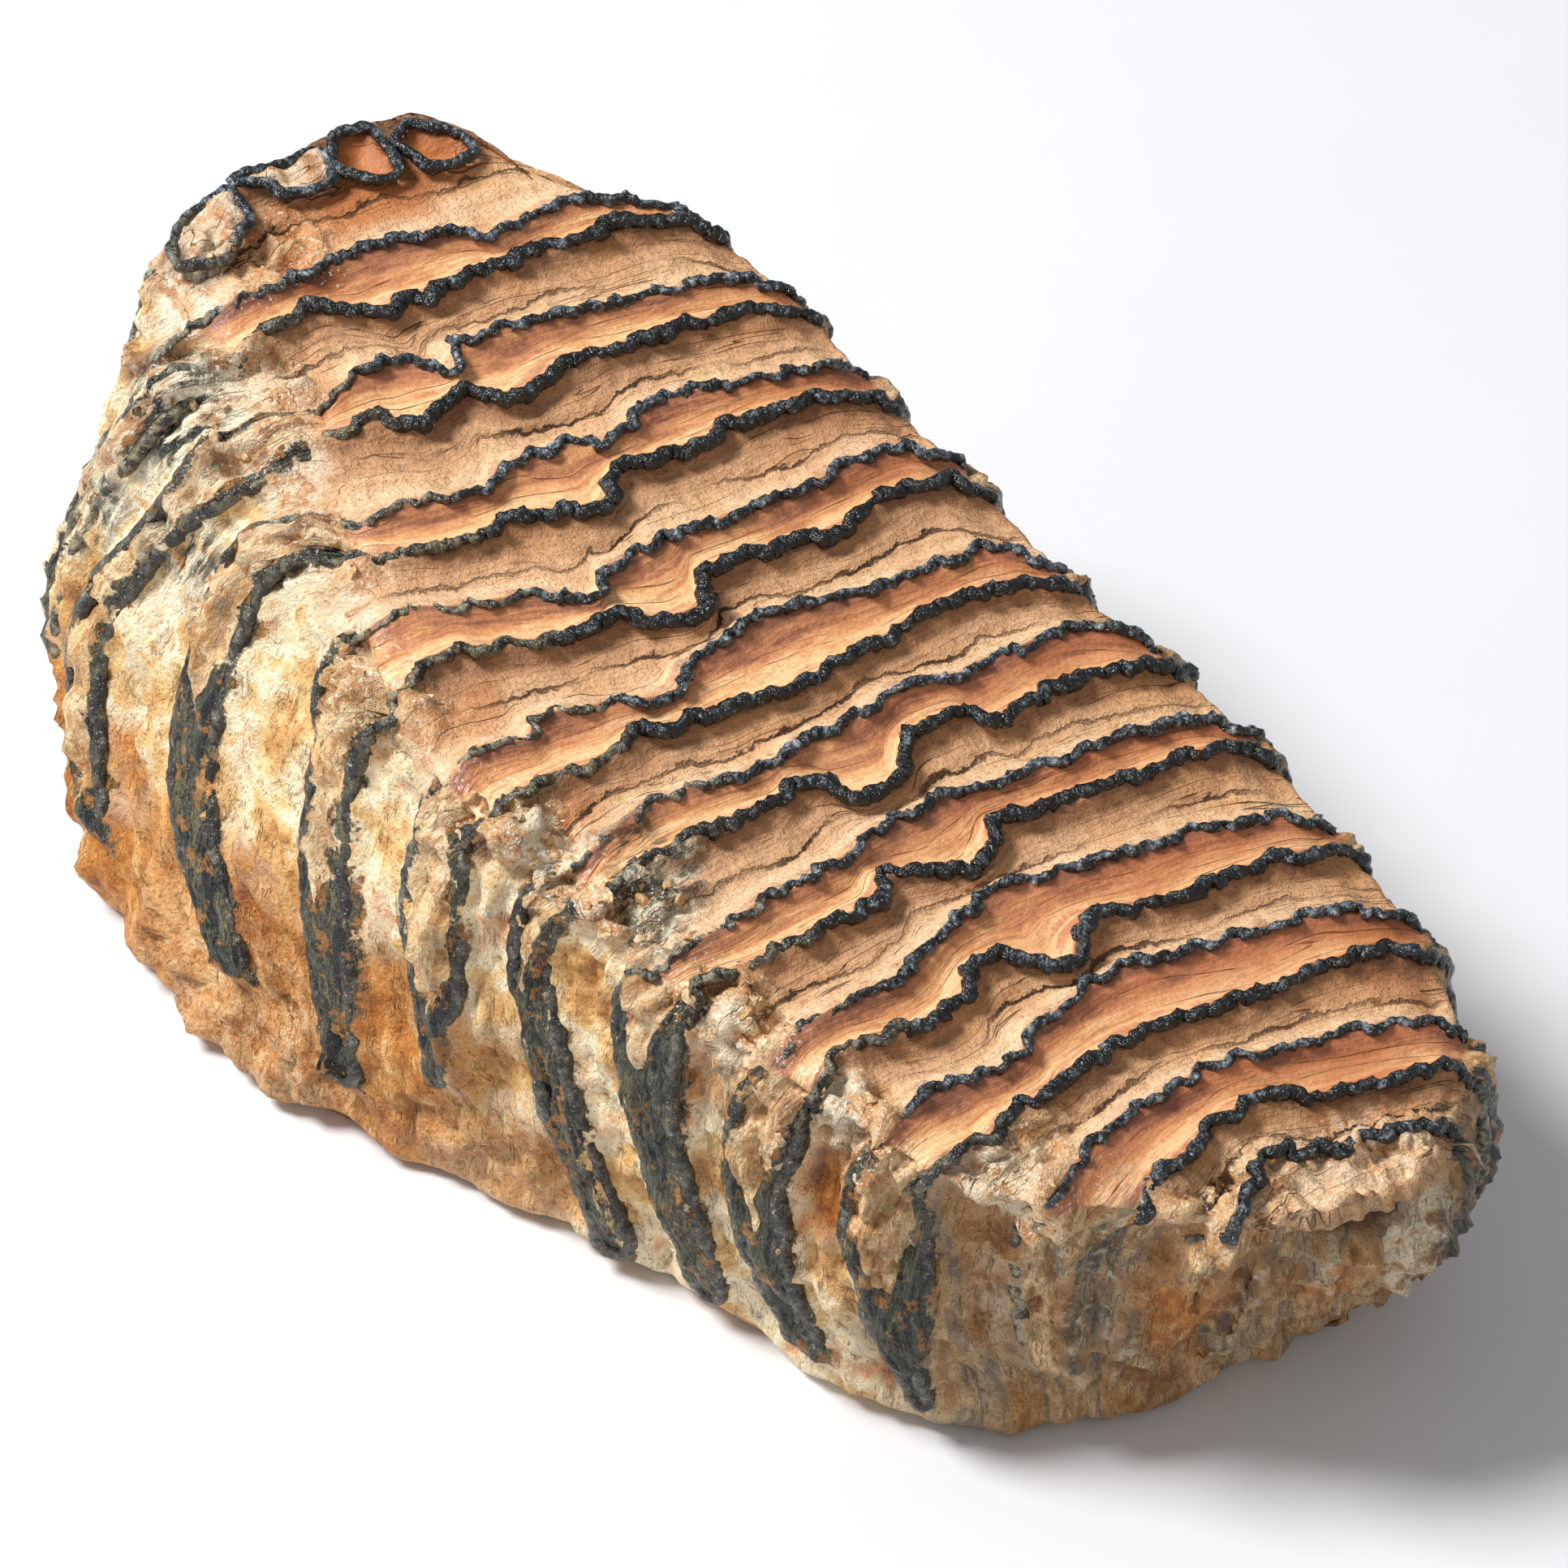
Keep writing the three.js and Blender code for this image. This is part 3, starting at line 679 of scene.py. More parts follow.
# Pale ribs down it: place across the tooth, width and height
frontRibs = [(-4.5, 0.9, 0.9), (2.5, 0.8, 0.7), (9.5, 1.0, 1.2), (18.0, 0.7, 0.5), (27.5, 1.5, 1.0)]


def patchField(name, points, waver):
    total = np.zeros(len(points))
    for centre, reach, strength in patches[name]:
        away = np.linalg.norm((points - np.array(centre)) / np.array(reach), axis=1)
        total = np.maximum(total, strength * (1 - smoothStep(0.55, 1.25, away + 0.35 * waver)))
    return total


def meshObject(name, points, faces, material, fields):
    mesh = bpy.data.meshes.new(name)
    mesh.from_pydata(points.tolist(), [], [row for group in faces for row in group.tolist()])
    mesh.polygons.foreach_set("use_smooth", np.ones(len(mesh.polygons), bool))
    for field, values in fields.items():
        storeField(mesh, field, values)
    mesh.materials.append(material)
    return addObject(name, mesh)


def stainBody(points, fields):
    # soft patches, the rusty foot of the walls, and a dark tone towards the front, partly painted shade over
    # a darker crust
    wide = lumps(points, 7.0, 11, 2)
    for name in patches:
        fields[name] = np.maximum(fields.get(name, 0), patchField(name, points, wide))
    for name in ("crumble", "bleach", "ash"):
        fields[name] = fields[name] * (1 - fields["cup"])
    x, y, z = points.T
    wall, left = fields["wall"], fields["side"] == 0
    unseen = np.isin(fields["side"], (2, 3))
    fields["loose"] = fields["crumble"] * smoothStep(25, 32, z)
    # painted shade, partly a real darker crust: the front wall and the front end of the left wall take the
    # dark front tone
    toFront = (fields["side"] == 1) + smoothStep(9.3, 10.4, fields["place"])
    fields["frontCrustAndShade"] = np.clip(wall * toFront, 0, 1)
    fields["pale"] = np.clip(wall * (left + 0.45 * unseen) + smoothStep(0.12, 0, fields["across"]), 0, 1)
    leftFoot = left * smoothStep(31, 14, z + 9 * wide) * smoothStep(12, -20, x)
    otherFoot = 0.8 * unseen * smoothStep(16, 4, z + 14 * wide)
    fields["rust"] = np.maximum(fields["rust"], wall * np.maximum(leftFoot, otherFoot))
    fields["ash"] = np.maximum(fields["ash"], 0.35 * wall * unseen * smoothStep(0, 0.4, wide))
    fields["redden"] = 0.7 * smoothStep(0, 42, y + 0.35 * x) * (1 - wall)


def displaceBody(points, faces, fields):
    # relief along the normals, by the fields and by noises with a size, a seed and octaves
    stainBody(points, fields)
    depth = bodyMesh
    x, y, z = points.T
    wall, shell, down, core = (fields[name] for name in ("wall", "shell", "down", "core"))
    cement = np.clip(1 - fields["dentine"], 0, 1)
    black = smoothStep(-0.5, 0.5, shell)
    along = depth["grainStretch"]
    grain = np.column_stack([fields["flow"], along * y, along * z])
    grit = lumps(points, 2.4, 12, 3)
    pits = lumps(points, 1.5, 91, 2)
    layers = lumps(grain, 1.6, 35, 2)
    flakes = terraces(lumps(points * [1, 1, 0.7], 6.5, 37, 3), 5)
    broken = lumps(points, 3.8, 15, 3)
    broken = 0.5 * broken + 0.7 * terraces(broken, 4) + 0.45 * lumps(points, 1.7, 16, 2)
    fibres = lumps(grain, 1.4, 19, 2)
    creases = np.abs(lumps(points * [1, 1, 0.75], 4.2, 51, 3)) - 0.25
    folds = lumps(grain * [1, 1.3, 1.3], 5.0, 61, 3)

    # the front wall is a rough break under a smooth ledge, with pale ribs down it
    front = (fields["side"] == 1) * smoothStep(0, 7, fields["flow"] - plateSpread * lastPlace)
    deep = front * smoothStep(0.3, 2, down)
    below = faceLevel(x, 0.5) - z
    ledge = smoothStep(*frontWall["ledgeFrom"], y) * (1 - smoothStep(*frontWall["ledgeTo"], y)) * front
    lipAt, lipWidth, grooveAt, grooveWidth = frontWall["lip"] + frontWall["groove"]
    lip = np.exp(-((below - lipAt) / lipWidth) ** 2)
    groove = np.exp(-((below - grooveAt - 1.0 * lumps(points, 6, 29)) / grooveWidth) ** 2)
    fields["groove"] = ledge * groove
    calm = 1 - 0.7 * smoothStep(-2.6, -0.4, shell)     # smoother beside the enamel
    calm = calm * (1 - 0.7 * ledge * smoothStep(6, 3, below))

    shift = fields["proud"] + (depth["grit"] + depth["wallGrit"] * wall) * cement * grit
    shift += depth["wallPits"] * wall * cement * smoothStep(0.2, 1.5, down) * pits
    shift += depth["creases"] * wall * calm * creases * (1 - 0.6 * front)
    shift += depth["folds"] * wall * calm * folds
    shift += depth["layers"] * cement * (1 - wall) * layers
    shift += fields["dentine"] * (depth["dentineLayers"] * layers + depth["dentineGrit"] * grit)
    shift += depth["flakes"] * wall * calm * flakes
    shift += depth["crumble"] * fields["crumble"] * (0.2 + 0.8 * cement) * broken
    shift += (depth["fibres"] + depth["enamelFibres"] * black) * wall * fibres
    shift += deep * calm * (depth["frontLumps"] * lumps(grain, 8.0, 27, 2) + depth["frontFlakes"] * flakes
                            + depth["frontBreaks"] * broken)
    shift += depth["core"] * core * np.minimum(broken, depth["coreRise"])
    shift -= (deep * depth["frontHollow"] * smoothStep(*frontWall["hollowFrom"], below)
              * (1 - smoothStep(*frontWall["hollowTo"], below)))
    shift += ledge * (depth["ledge"] * lip - depth["groove"] * groove)
    winding = y + 1.6 * lumps(points, 7, 71)
    for middle, width, height in frontRibs:
        rib = deep * np.exp(-((winding - middle) / width) ** 2) * smoothStep(3, 6, below)
        fields["rib"] = np.maximum(fields.get("rib", 0), rib)
        shift += rib * (height + depth["ribGrit"] * grit)

    # calm near the base, with a ragged lower edge away from the enamel
    shift *= np.where(down > waistKnot, 0.2 + 0.8 * smoothStep(0, 8, z), 1)
    ragged = smoothStep(12, 0, z) * smoothStep(-1, -4, shell) * (down < baseKnot)
    shift += depth["raggedFoot"] * wall * ragged * lumps(points, 9, 83, 2)
    moved = points + vertexNormals(points, faces) * shift[:, None]
    settled = np.where(down > waistKnot, smoothStep(0.4, 4, z), 1)
    moved[:, 2] = np.maximum(z + settled * (moved[:, 2] - z), 0)
    moved[down >= baseKnot, 2] = 0
    return moved


points, faces, fields = makeBody()
datum = np.array([cadLow[0] / mm - points[:, 0].min(), cadLow[1] / mm - points[:, 1].min(), 0.0])
datum[:2] += (np.array(cadHigh[:2]) / mm - points[:, :2].max(axis=0) - datum[:2]) / 2
print("datum", datum.round(2), "body points", len(points))


# materials

def startMaterial(name):
    material = bpy.data.materials.new(name)
    material.use_nodes = True
    material.node_tree.nodes.clear()
    add = partial(addNode, material.node_tree)
    return material, add, add("TexCoord").outputs["Object"]


def finishMaterial(add, colour, roughness, height, depth, constants):
    # height is in shares of the depth of relief
    bump = add("Bump", {"Height": height, "Distance": depth, "Strength": 1.0})
    surface = add("BsdfPrincipled",
                  {"Base Color": colour, "Roughness": roughness, "Normal": bump, **constants})
    add("OutputMaterial", {"Surface": surface})


bodyFields = ("flow", "dentine", "strip", "gapAt", "gape", "groove", "rib", "rust", "bleach", "ash",
              "crumble", "loose", "shell", "core", "wall", "frontCrustAndShade", "pale", "redden")

# What gives the body its colour: tones by the height of the pattern behind them
bodyTones = {
    "cement": {0.0: "#8d6145", 0.18: "#b5845c", 0.4: "#d3a277", 0.6: "#e6b98a", 0.78: "#f7d1a8",
               1.0: "#dcae86"},
    "wallCement": {0.3: "#9c6432", 0.39: "#d09a58", 0.47: "#eec688", 0.54: "#fbecc9", 0.6: "#f6d4a8",
                   0.66: "#dd9a68", 0.74: "#b9703c"},
    "sideCement": {0.36: "#6f5334", 0.45: "#a37d50", 0.54: "#c6a476", 0.62: "#e0c9a0"},
    "frontCement": {0.34: "#33231a", 0.42: "#77512e", 0.49: "#ab8050", 0.57: "#dbbb8c", 0.64: "#c7a98a",
                    0.72: "#85817a"},
    "panel": {0.36: "#7d4517", 0.43: "#b27736", 0.49: "#a9875a", 0.535: "#6d6f6c", 0.575: "#cfae7c",
              0.66: "#a4622a"},
    "rib": {0.4: "#a5855a", 0.5: "#e0c99c", 0.62: "#8f9290"},
    "cup": {0.15: "#7a4526", 0.3: "#a8602f", 0.5: "#bd7038", 0.8: "#cf8a55"},
    "rust": {0.33: "#52290c", 0.42: "#94500f", 0.5: "#bd7424", 0.58: "#d89748", 0.68: "#ecc58a"},
    "crumb": {0.34: "#8d4f22", 0.42: "#c08348", 0.5: "#e0b27a", 0.6: "#f4dcb2"},
    "dentine": {0.0: "#8e5c46", 0.2: "#be7d57", 0.38: "#d99764", 0.56: "#edb67f", 0.7: "#fbd19b",
                0.84: "#e7ad7e", 1.0: "#c78f69"},
    "core": {0.34: "#452c1b", 0.42: "#8e5f38", 0.48: "#c8945c", 0.54: "#edd4a6", 0.6: "#bd8255",
             0.7: "#5f5340"},
    "stain": {0.42: "#0f1213", 0.49: "#34362f", 0.55: "#7d7c66", 0.61: "#c6c3ac"},
    "shell": {0.34: "#07090a", 0.44: "#171c1f", 0.49: "#5a5b49", 0.53: "#13171a", 0.59: "#76704f",
              0.64: "#23282a", 0.71: "#cbbd92"},
    # thin lines and steps
    "streak": {0.37: 0, 0.4: 0.3, 0.43: 0, 0.55: 0, 0.58: 0.35, 0.61: 0},
    "hair": {0.493: 0, 0.5: 0.7, 0.507: 0, 0.661: 0, 0.667: 0.8, 0.673: 0},
    "split": {0.41: 0, 0.425: 0.3, 0.44: 0, 0.56: 0, 0.57: 0.25, 0.58: 0},
    "chip": {0.4: 0.25, 0.43: 0.42, 0.5: 0.46, 0.52: 0.62, 0.58: 0.66, 0.6: 0.85},
}


def makeBodyMaterial():
    # Fossil cement and dentine in one skin. The cement is chalky and gritty, dull as sandstone; the
    # dentine was polished by chewing, so it has a faint sheen and fine streaks along the plate.
    material, add, where = startMaterial("fossil_cement_and_dentine")
    field = {name: add("Attribute", attribute_name=name).outputs["Fac"] for name in bodyFields}
    flow = add("Math", (field["flow"], mm), "MULTIPLY")
    spot = add("SeparateXYZ", {0: where})
    drawn = add("CombineXYZ", (flow, spot.outputs["Y"], spot.outputs["Z"]))
    alongPlate, upWall, blocky = (add("VectorMath", (drawn, stretch), "MULTIPLY")
                                  for stretch in ((1.0, 0.09, 0.3), (1.0, 0.2, 0.16), (1.0, 0.6, 0.4)))

    # noises, each with the size of its lumps in millimetres, its detail and roughness
    clouds, patchy, grains, layers, strands, panels, hairs, splits, paintedGlints = (
        add("TexNoise", {"Vector": at, "Scale": perMm(size), "Detail": detail, "Roughness": rough})
        for at, size, detail, rough in (
            (where, 8, 5, 0.62), (where, 2.4, 5, 0.68), (where, 0.5, 3, 0.7), (alongPlate, 0.8, 4, 0.65),
            (upWall, 1.3, 5, 0.65), (blocky, 8, 4, 0.5), (alongPlate, 2.4, 2, 0.5), (upWall, 3, 5, 0.65),
            (where, 0.45, 1, 0.5)))
    uneven, crust, gritty, crumbly, streaks = (
        add("Mix", {0: share, 2: one, 3: other}) for share, one, other in (
            (0.55, layers, patchy), (0.5, strands, patchy), (0.8, strands, patchy),
            (0.4, patchy, grains), (0.22, layers, grains)))

    # how much of each pattern shows: where it starts and is full, least and most, and its field
    shown = {}
    for name, pattern, start, full, least, most, by in (
            ("golden", clouds, 0.5, 0.66, 0, 0.4, None), ("brown", patchy, 0.54, 0.68, 0, 0.3, None),
            ("ribs", field["rib"], 0, 1, 0, 0.8, None), ("rust", clouds, 0.3, 0.46, 0, 1, "rust"),
            ("crumbs", field["crumble"], 0, 1, 0, 0.75, None), ("core", field["core"], 0, 1, 0, 0.75, None),
            ("red", layers, 0.42, 0.62, 0.15, 0.75, "redden"), ("bleach", patchy, 0.4, 0.52, 0, 1, "bleach"),
            ("cracked", clouds, 0.46, 0.62, 0, 1, None), ("split", patchy, 0.46, 0.56, 0, 1, "wall"),
            ("specks", grains, 0.42, 0.3, 0, 0.65, None), ("stain", strands, 0.47, 0.53, 0, 1, "ash"),
            ("rusty", patchy, 0.55, 0.62, 0, 0.9, None), ("paintedGlints", paintedGlints, 0.64, 0.69, 0, 1, "loose"),
            ("waxy", field["pale"], 0, 1, 0, 0.45, None), ("notWall", field["wall"], 0, 1, 1, 0, None),
            ("cracking", field["dentine"], 0, 1, 1, 0.4, None),
            ("specking", field["dentine"], 0, 1, 1, 0.1, None)):
        shown[name] = add("MapRange", (pattern, start, full, least, most))
        if by:
            shown[name] = add("Math", (shown[name], field[by]), "MULTIPLY")

    # worn cement darkens behind each enamel edge, partly dirt and partly painted shade of the edge, and
    # pales towards the next one; dentine runs from mauve brown by its rear edge, partly painted shade,
    # through orange to a bright peach stripe
    wornAndShaded = add("MapRange", (uneven, 0.35, 0.65, -0.2, 0.2))
    chewedAndShaded = add("MapRange", (streaks, 0.34, 0.66, -0.3, 0.3))
    wornAndShaded, chewedAndShaded, hair = (add("Math", (shade, field["strip"]), "ADD") for shade in (wornAndShaded, chewedAndShaded, hairs))
    drift = add("MapRange", (clouds, 0.35, 0.65, -0.12, 0.12))
    chewedAndShaded = add("Math", (chewedAndShaded, drift), "ADD")
    hair = add("MapRange", (hair, 0, 1.6))
    behind = {"cement": wornAndShaded, "wallCement": clouds, "sideCement": crust, "frontCement": gritty,
              "panel": panels, "rib": patchy, "cup": field["strip"], "rust": crust, "crumb": crumbly,
              "dentine": chewedAndShaded, "core": crust, "stain": patchy, "shell": strands, "streak": layers,
              "hair": hair, "split": splits, "chip": uneven}
    tone = {name: add("ValToRGB", {"Fac": behind[name]}, stops=stops)
            for name, stops in bodyTones.items()}

    # dark seams: one gaping crack in each cement strip, and hair cracks along the plates
    wriggle = add("MapRange", (patchy, 0.3, 0.7, -0.45, 0.45))
    seam = add("Math", (field["gapAt"], wriggle), "ADD")
    seam = add("Math", {0: seam}, "ABSOLUTE")
    seam = add("MapRange", (seam, 0.05, 0.22, 1, 0))
    seam = add("Math", (seam, field["gape"]), "MULTIPLY")
    split = add("Math", (tone["split"], shown["split"]), "MULTIPLY")
    hair = tone["hair"]
    for share in (shown["cracked"], shown["cracking"], shown["notWall"]):
        hair = add("Math", (hair, share), "MULTIPLY")
    dark = add("Math", (split, 0.12), "MULTIPLY")
    for line in (hair, seam, field["groove"]):
        dark = add("Math", (dark, line), "MAXIMUM")
    specks = add("Math", (shown["specks"], shown["specking"]), "MULTIPLY")

    # black enamel shows through on the walls with a ragged edge
    edge = field["shell"]
    for pattern, least, most in ((patchy, -0.9, 0.8), (clouds, -1.0, 0.7)):
        ragged = add("MapRange", (pattern, 0.3, 0.7, least, most))
        edge = add("Math", (edge, ragged), "ADD")
    edge = add("MapRange", (edge, -0.1, 0.25))

    # coats laid over the tone named first, in order: how much of each shows, and its colour
    for under, share, coat in (
            ("sideCement", 0.3, "wallCement"), ("sideCement", field["pale"], "wallCement"),
            ("frontCement", 0.6, "panel"), ("frontCement", shown["ribs"], "rib"),
            # dark front tone: painted shade over the front's darker crust
            ("sideCement", field["frontCrustAndShade"], "frontCement"),
            ("dentine", shown["red"], "#c8683d"), ("dentine", tone["streak"], "#955a3a"),
            ("dentine", field["rust"], "cup"), ("cup", field["wall"], "rust"),
            ("cement", shown["golden"], "#d99c60"), ("cement", field["wall"], "sideCement"),
            ("cement", shown["brown"], "#a0683c"), ("cement", shown["rust"], "cup"),
            ("cement", shown["crumbs"], "crumb"), ("cement", shown["bleach"], "#f4ead0"),
            ("cement", field["dentine"], "dentine"), ("cement", shown["core"], "core"),
            ("cement", specks, "#7a5433"), ("cement", dark, "#4a2f1c"),
            ("cement", shown["stain"], "stain"), ("shell", shown["rusty"], "#a87338"),
            # the last coat is painted glints: pale specks where the crumbling crust would glint
            ("cement", edge, "shell"), ("cement", shown["paintedGlints"], "#fbf6ea")):
        tone[under] = add("Mix", {0: share, 6: tone[under], 7: tone.get(coat, coat)})

    # glossy where it is enamel, crystal or wet-looking crust, and gritty relief elsewhere
    glossy = edge
    for part in (field["crumble"], shown["waxy"], shown["stain"]):
        glossy = add("Math", (glossy, part), "MAXIMUM")
    dry = add("MapRange", {0: field["dentine"], 3: 0.72, 4: 0.5})
    rough = add("Mix", {0: glossy, 2: dry, 3: 0.14})
    glitter = add("MapRange", {0: glossy, 3: 0.5, 4: 0.1})
    grit = add("Mix", {0: glitter, 2: grains, 3: patchy})
    flaky = add("Mix", {0: 0.45, 2: grit, 3: tone["chip"]})
    polished = add("MapRange", {0: streaks, 3: 0.2, 4: 0.8})
    height = add("Mix", {0: field["dentine"], 2: flaky, 3: polished})
    for cut in (dark, split):
        height = add("Math", (height, cut), "SUBTRACT")
    finishMaterial(add, tone["cement"], rough, height, 0.9 * mm, {"IOR": 1.5})
    return material


def makeEnamelMaterial():
    # Fossil enamel stained blue-black: glassy and pitted, silvery on the thin rear edges, partly weathered
    # grey and partly painted sheen, with a painted highlight on its raised grain, painted glints, and dusty
    # where it has weathered.
    material, add, where = startMaterial("black_fossil_enamel")
    silverAndSheen, dusty = (add("Attribute", attribute_name=name).outputs["Fac"] for name in ("silverAndSheen", "dusty"))
    pits, blotches, paintedGlints = (
        add("TexNoise", {"Vector": where, "Scale": perMm(size), "Detail": detail, "Roughness": rough})
        for size, detail, rough in ((0.6, 3, 0.6), (1.5, 5, 0.7), (0.4, 1, 0.5)))
    lift = add("MapRange", {0: silverAndSheen, 3: -0.015, 4: 0.065})
    shade = add("Mix", {0: 0.45, 2: blotches, 3: pits})
    shade = add("Math", (shade, lift), "ADD")
    # the pale end of the ramp falls where the pits stand high and on the silvery edges: painted highlight
    # over real grey weathering
    colour = add("ValToRGB", {"Fac": shade}, stops={
        0.4: "#050506", 0.5: "#0f1214", 0.56: "#262d31", 0.63: "#667179", 0.72: "#c2c6c0"})
    dust = add("MapRange", (blotches, 0.45, 0.6, 0.05, 1))
    dust = add("Math", (dust, dusty), "MULTIPLY", use_clamp=True)
    # painted glints: pale specks scattered over the enamel
    paintedGlints = add("MapRange", (paintedGlints, 0.7, 0.76, 0, 0.6))
    for share, coat in ((dust, "#9a8d6c"), (paintedGlints, "#c8cfd0")):
        colour = add("Mix", {0: share, 6: colour, 7: coat})
    rough = add("MapRange", (pits, 0.3, 0.7, 0.08, 0.3))
    finishMaterial(add, colour, rough, pits, 0.5 * mm, {"IOR": 1.6})
    return material


def makeCrumbMaterial():
    # Crumbled cement: broken tan and cream grains with rusty ones among them, glinting where split
    material, add, where = startMaterial("crumbled_cement")
    tint = add("Attribute", attribute_name="tint").outputs["Fac"]
    grains = add("TexNoise", {"Vector": where, "Scale": perMm(0.7), "Detail": 4})
    shade = add("MapRange", (grains, 0.3, 0.7, -0.12, 0.12))
    shade = add("Math", (shade, tint), "ADD")
    colour = add("ValToRGB", {"Fac": shade}, stops={
        0.0: "#a87a50", 0.3: "#c9a272", 0.6: "#dcbd90", 0.85: "#ecdab4", 1.0: "#8a7a5c"})
    rough = add("MapRange", (grains, 0.35, 0.65, 0.08, 0.4))
    finishMaterial(add, colour, rough, grains, 0.3 * mm, {"IOR": 1.5})
    return material


bodyMaterial = makeBodyMaterial()
enamelMaterial = makeEnamelMaterial()
crumbMaterial = makeCrumbMaterial()
points = displaceBody(points, faces, fields)
kept = {name: fields[name] for name in bodyFields}
body = meshObject(bodyMesh["name"], toFrame(points), faces, bodyMaterial, kept)
print("body made,", sum(len(group) * (group.shape[1] - 2) for group in faces), "triangles")


# enamel: a crinkled rope along each plate's outline, over the face and down both walls

enamelRopes = {
    "lengths": {"Step Length": 0.22, "Crinkle Size": 2.4, "Crinkle Depth": 4.4, "Grain Size": 0.95,
                "Grain Depth": 1.25},
    "profilePoints": 14, "ringCrinkle": 0.35,
    "facePoints": 140, "wallPoints": 70, "turnPoints": 10, "ringPoints": 72,
    "startDrop": 0.3, "endRise": 2.0,             # down a wall: under the rim, and over the plate's end
    "rearRadius": 0.5, "frontRadius": 0.72, "wallRadius": 0.9, "ringRadius": 0.6,
    "faceLift": 0.12, "wallSink": 0.72,
    "groups": {"enamel_rear": (1, 2, 3, 4), "enamel_middle": (5, 6, 7, 8),
               "enamel_front": (9, 10, 11, 12)},
}


def faceRun(points, backwards):
    across = np.linspace(0, 1, enamelRopes["facePoints"])
    flat = edgePoints(points, across)
    radius = enamelRopes["frontRadius" if backwards else "rearRadius"]
    radius = radius * (1 - 0.12 * smoothStep(20, 55, flat[:, 0]))    # finer towards the front
    level = faceLevel(flat[:, 0], across) + enamelRopes["faceLift"]
    run = np.column_stack([flat, level, radius])
    return run[::-1] if backwards else run


def wallRun(side, plate):
    # down the plate's front edge, round the end and up its rear edge
    rimHeight = rimAt(side, np.array([float(plate)]))[0, 2]
    end = leftPlates[plate]["runs"][-1][0] if side == "left" else rightPlate["endHeight"]
    rise = enamelRopes["endRise"]
    heights = np.linspace(rimHeight - enamelRopes["startDrop"], end + rise, enamelRopes["wallPoints"])
    rear, front = plateRun(side, plate, rimHeight, heights)
    turn = np.linspace(0, math.pi, enamelRopes["turnPoints"] + 2)[1:-1]
    half = (front[-1] - rear[-1]) / 2
    bottom = (rear[-1] + front[-1]) / 2 + half * np.cos(turn)
    places = np.clip(np.concatenate([front, bottom, rear[::-1]]), firstPlace, lastPlace)
    levels = np.concatenate([heights, end + rise - rise * np.sin(turn), heights[::-1]])
    run = wallPoints(side, places, levels)
    down = smoothStep(0, 8, rimHeight - levels)
    faint = leftPlates[plate].get("faint", 0) if side == "left" else 0
    shift = bodyMesh["plateProud"] * 0.6 * down - (enamelRopes["wallSink"] + 0.5 * faint) * down
    run[:, :2] += outwardAt(side, places) * shift[:, None]
    inFront = np.arange(len(levels)) < len(levels) // 2
    start = np.where(inFront, enamelRopes["frontRadius"], enamelRopes["rearRadius"])
    run = np.column_stack([run, start + down * (enamelRopes["wallRadius"] * (1 - 0.2 * faint) - start)])
    return run if side == "left" else run[::-1]


def outlineOf(plate):
    left = wallRun("left", plate)
    if plate == 12:
        rear = faceRun(enamelEdges[lastPlateRear], True)[::-1]
        return np.concatenate([left[len(left) // 2:], rear]), False
    if plate == 1:
        return left[len(left) // 2:], False
    rear, front = (enamelEdges[round(plate + shift, 2)] for shift in (-halfPlate, halfPlate))
    runs = [left, faceRun(rear, False), wallRun("right", plate), faceRun(front, True)]
    return np.concatenate(runs), True


def ringOutline(ring):
    # closed curve through the ring's points
    table = np.array(ring["points"], float)
    count = len(table)
    turn = np.linspace(0, count, enamelRopes["ringPoints"], endpoint=False)
    i, t = turn.astype(int), (turn % 1)[:, None]
    a, b, c, d = (table[(i + k) % count] for k in (-1, 0, 1, 2))
    flat = 0.5 * (2 * b + (c - a) * t + (2 * a - 5 * b + 4 * c - d) * t ** 2
                  + (3 * (b - c) + d - a) * t ** 3)
    level = faceLevel(flat[:, 1], 0.5) + enamelRopes["faceLift"]
    radius = np.full(len(flat), enamelRopes["ringRadius"])
    return np.column_stack([flat[:, 1], flat[:, 0], level, radius]), True


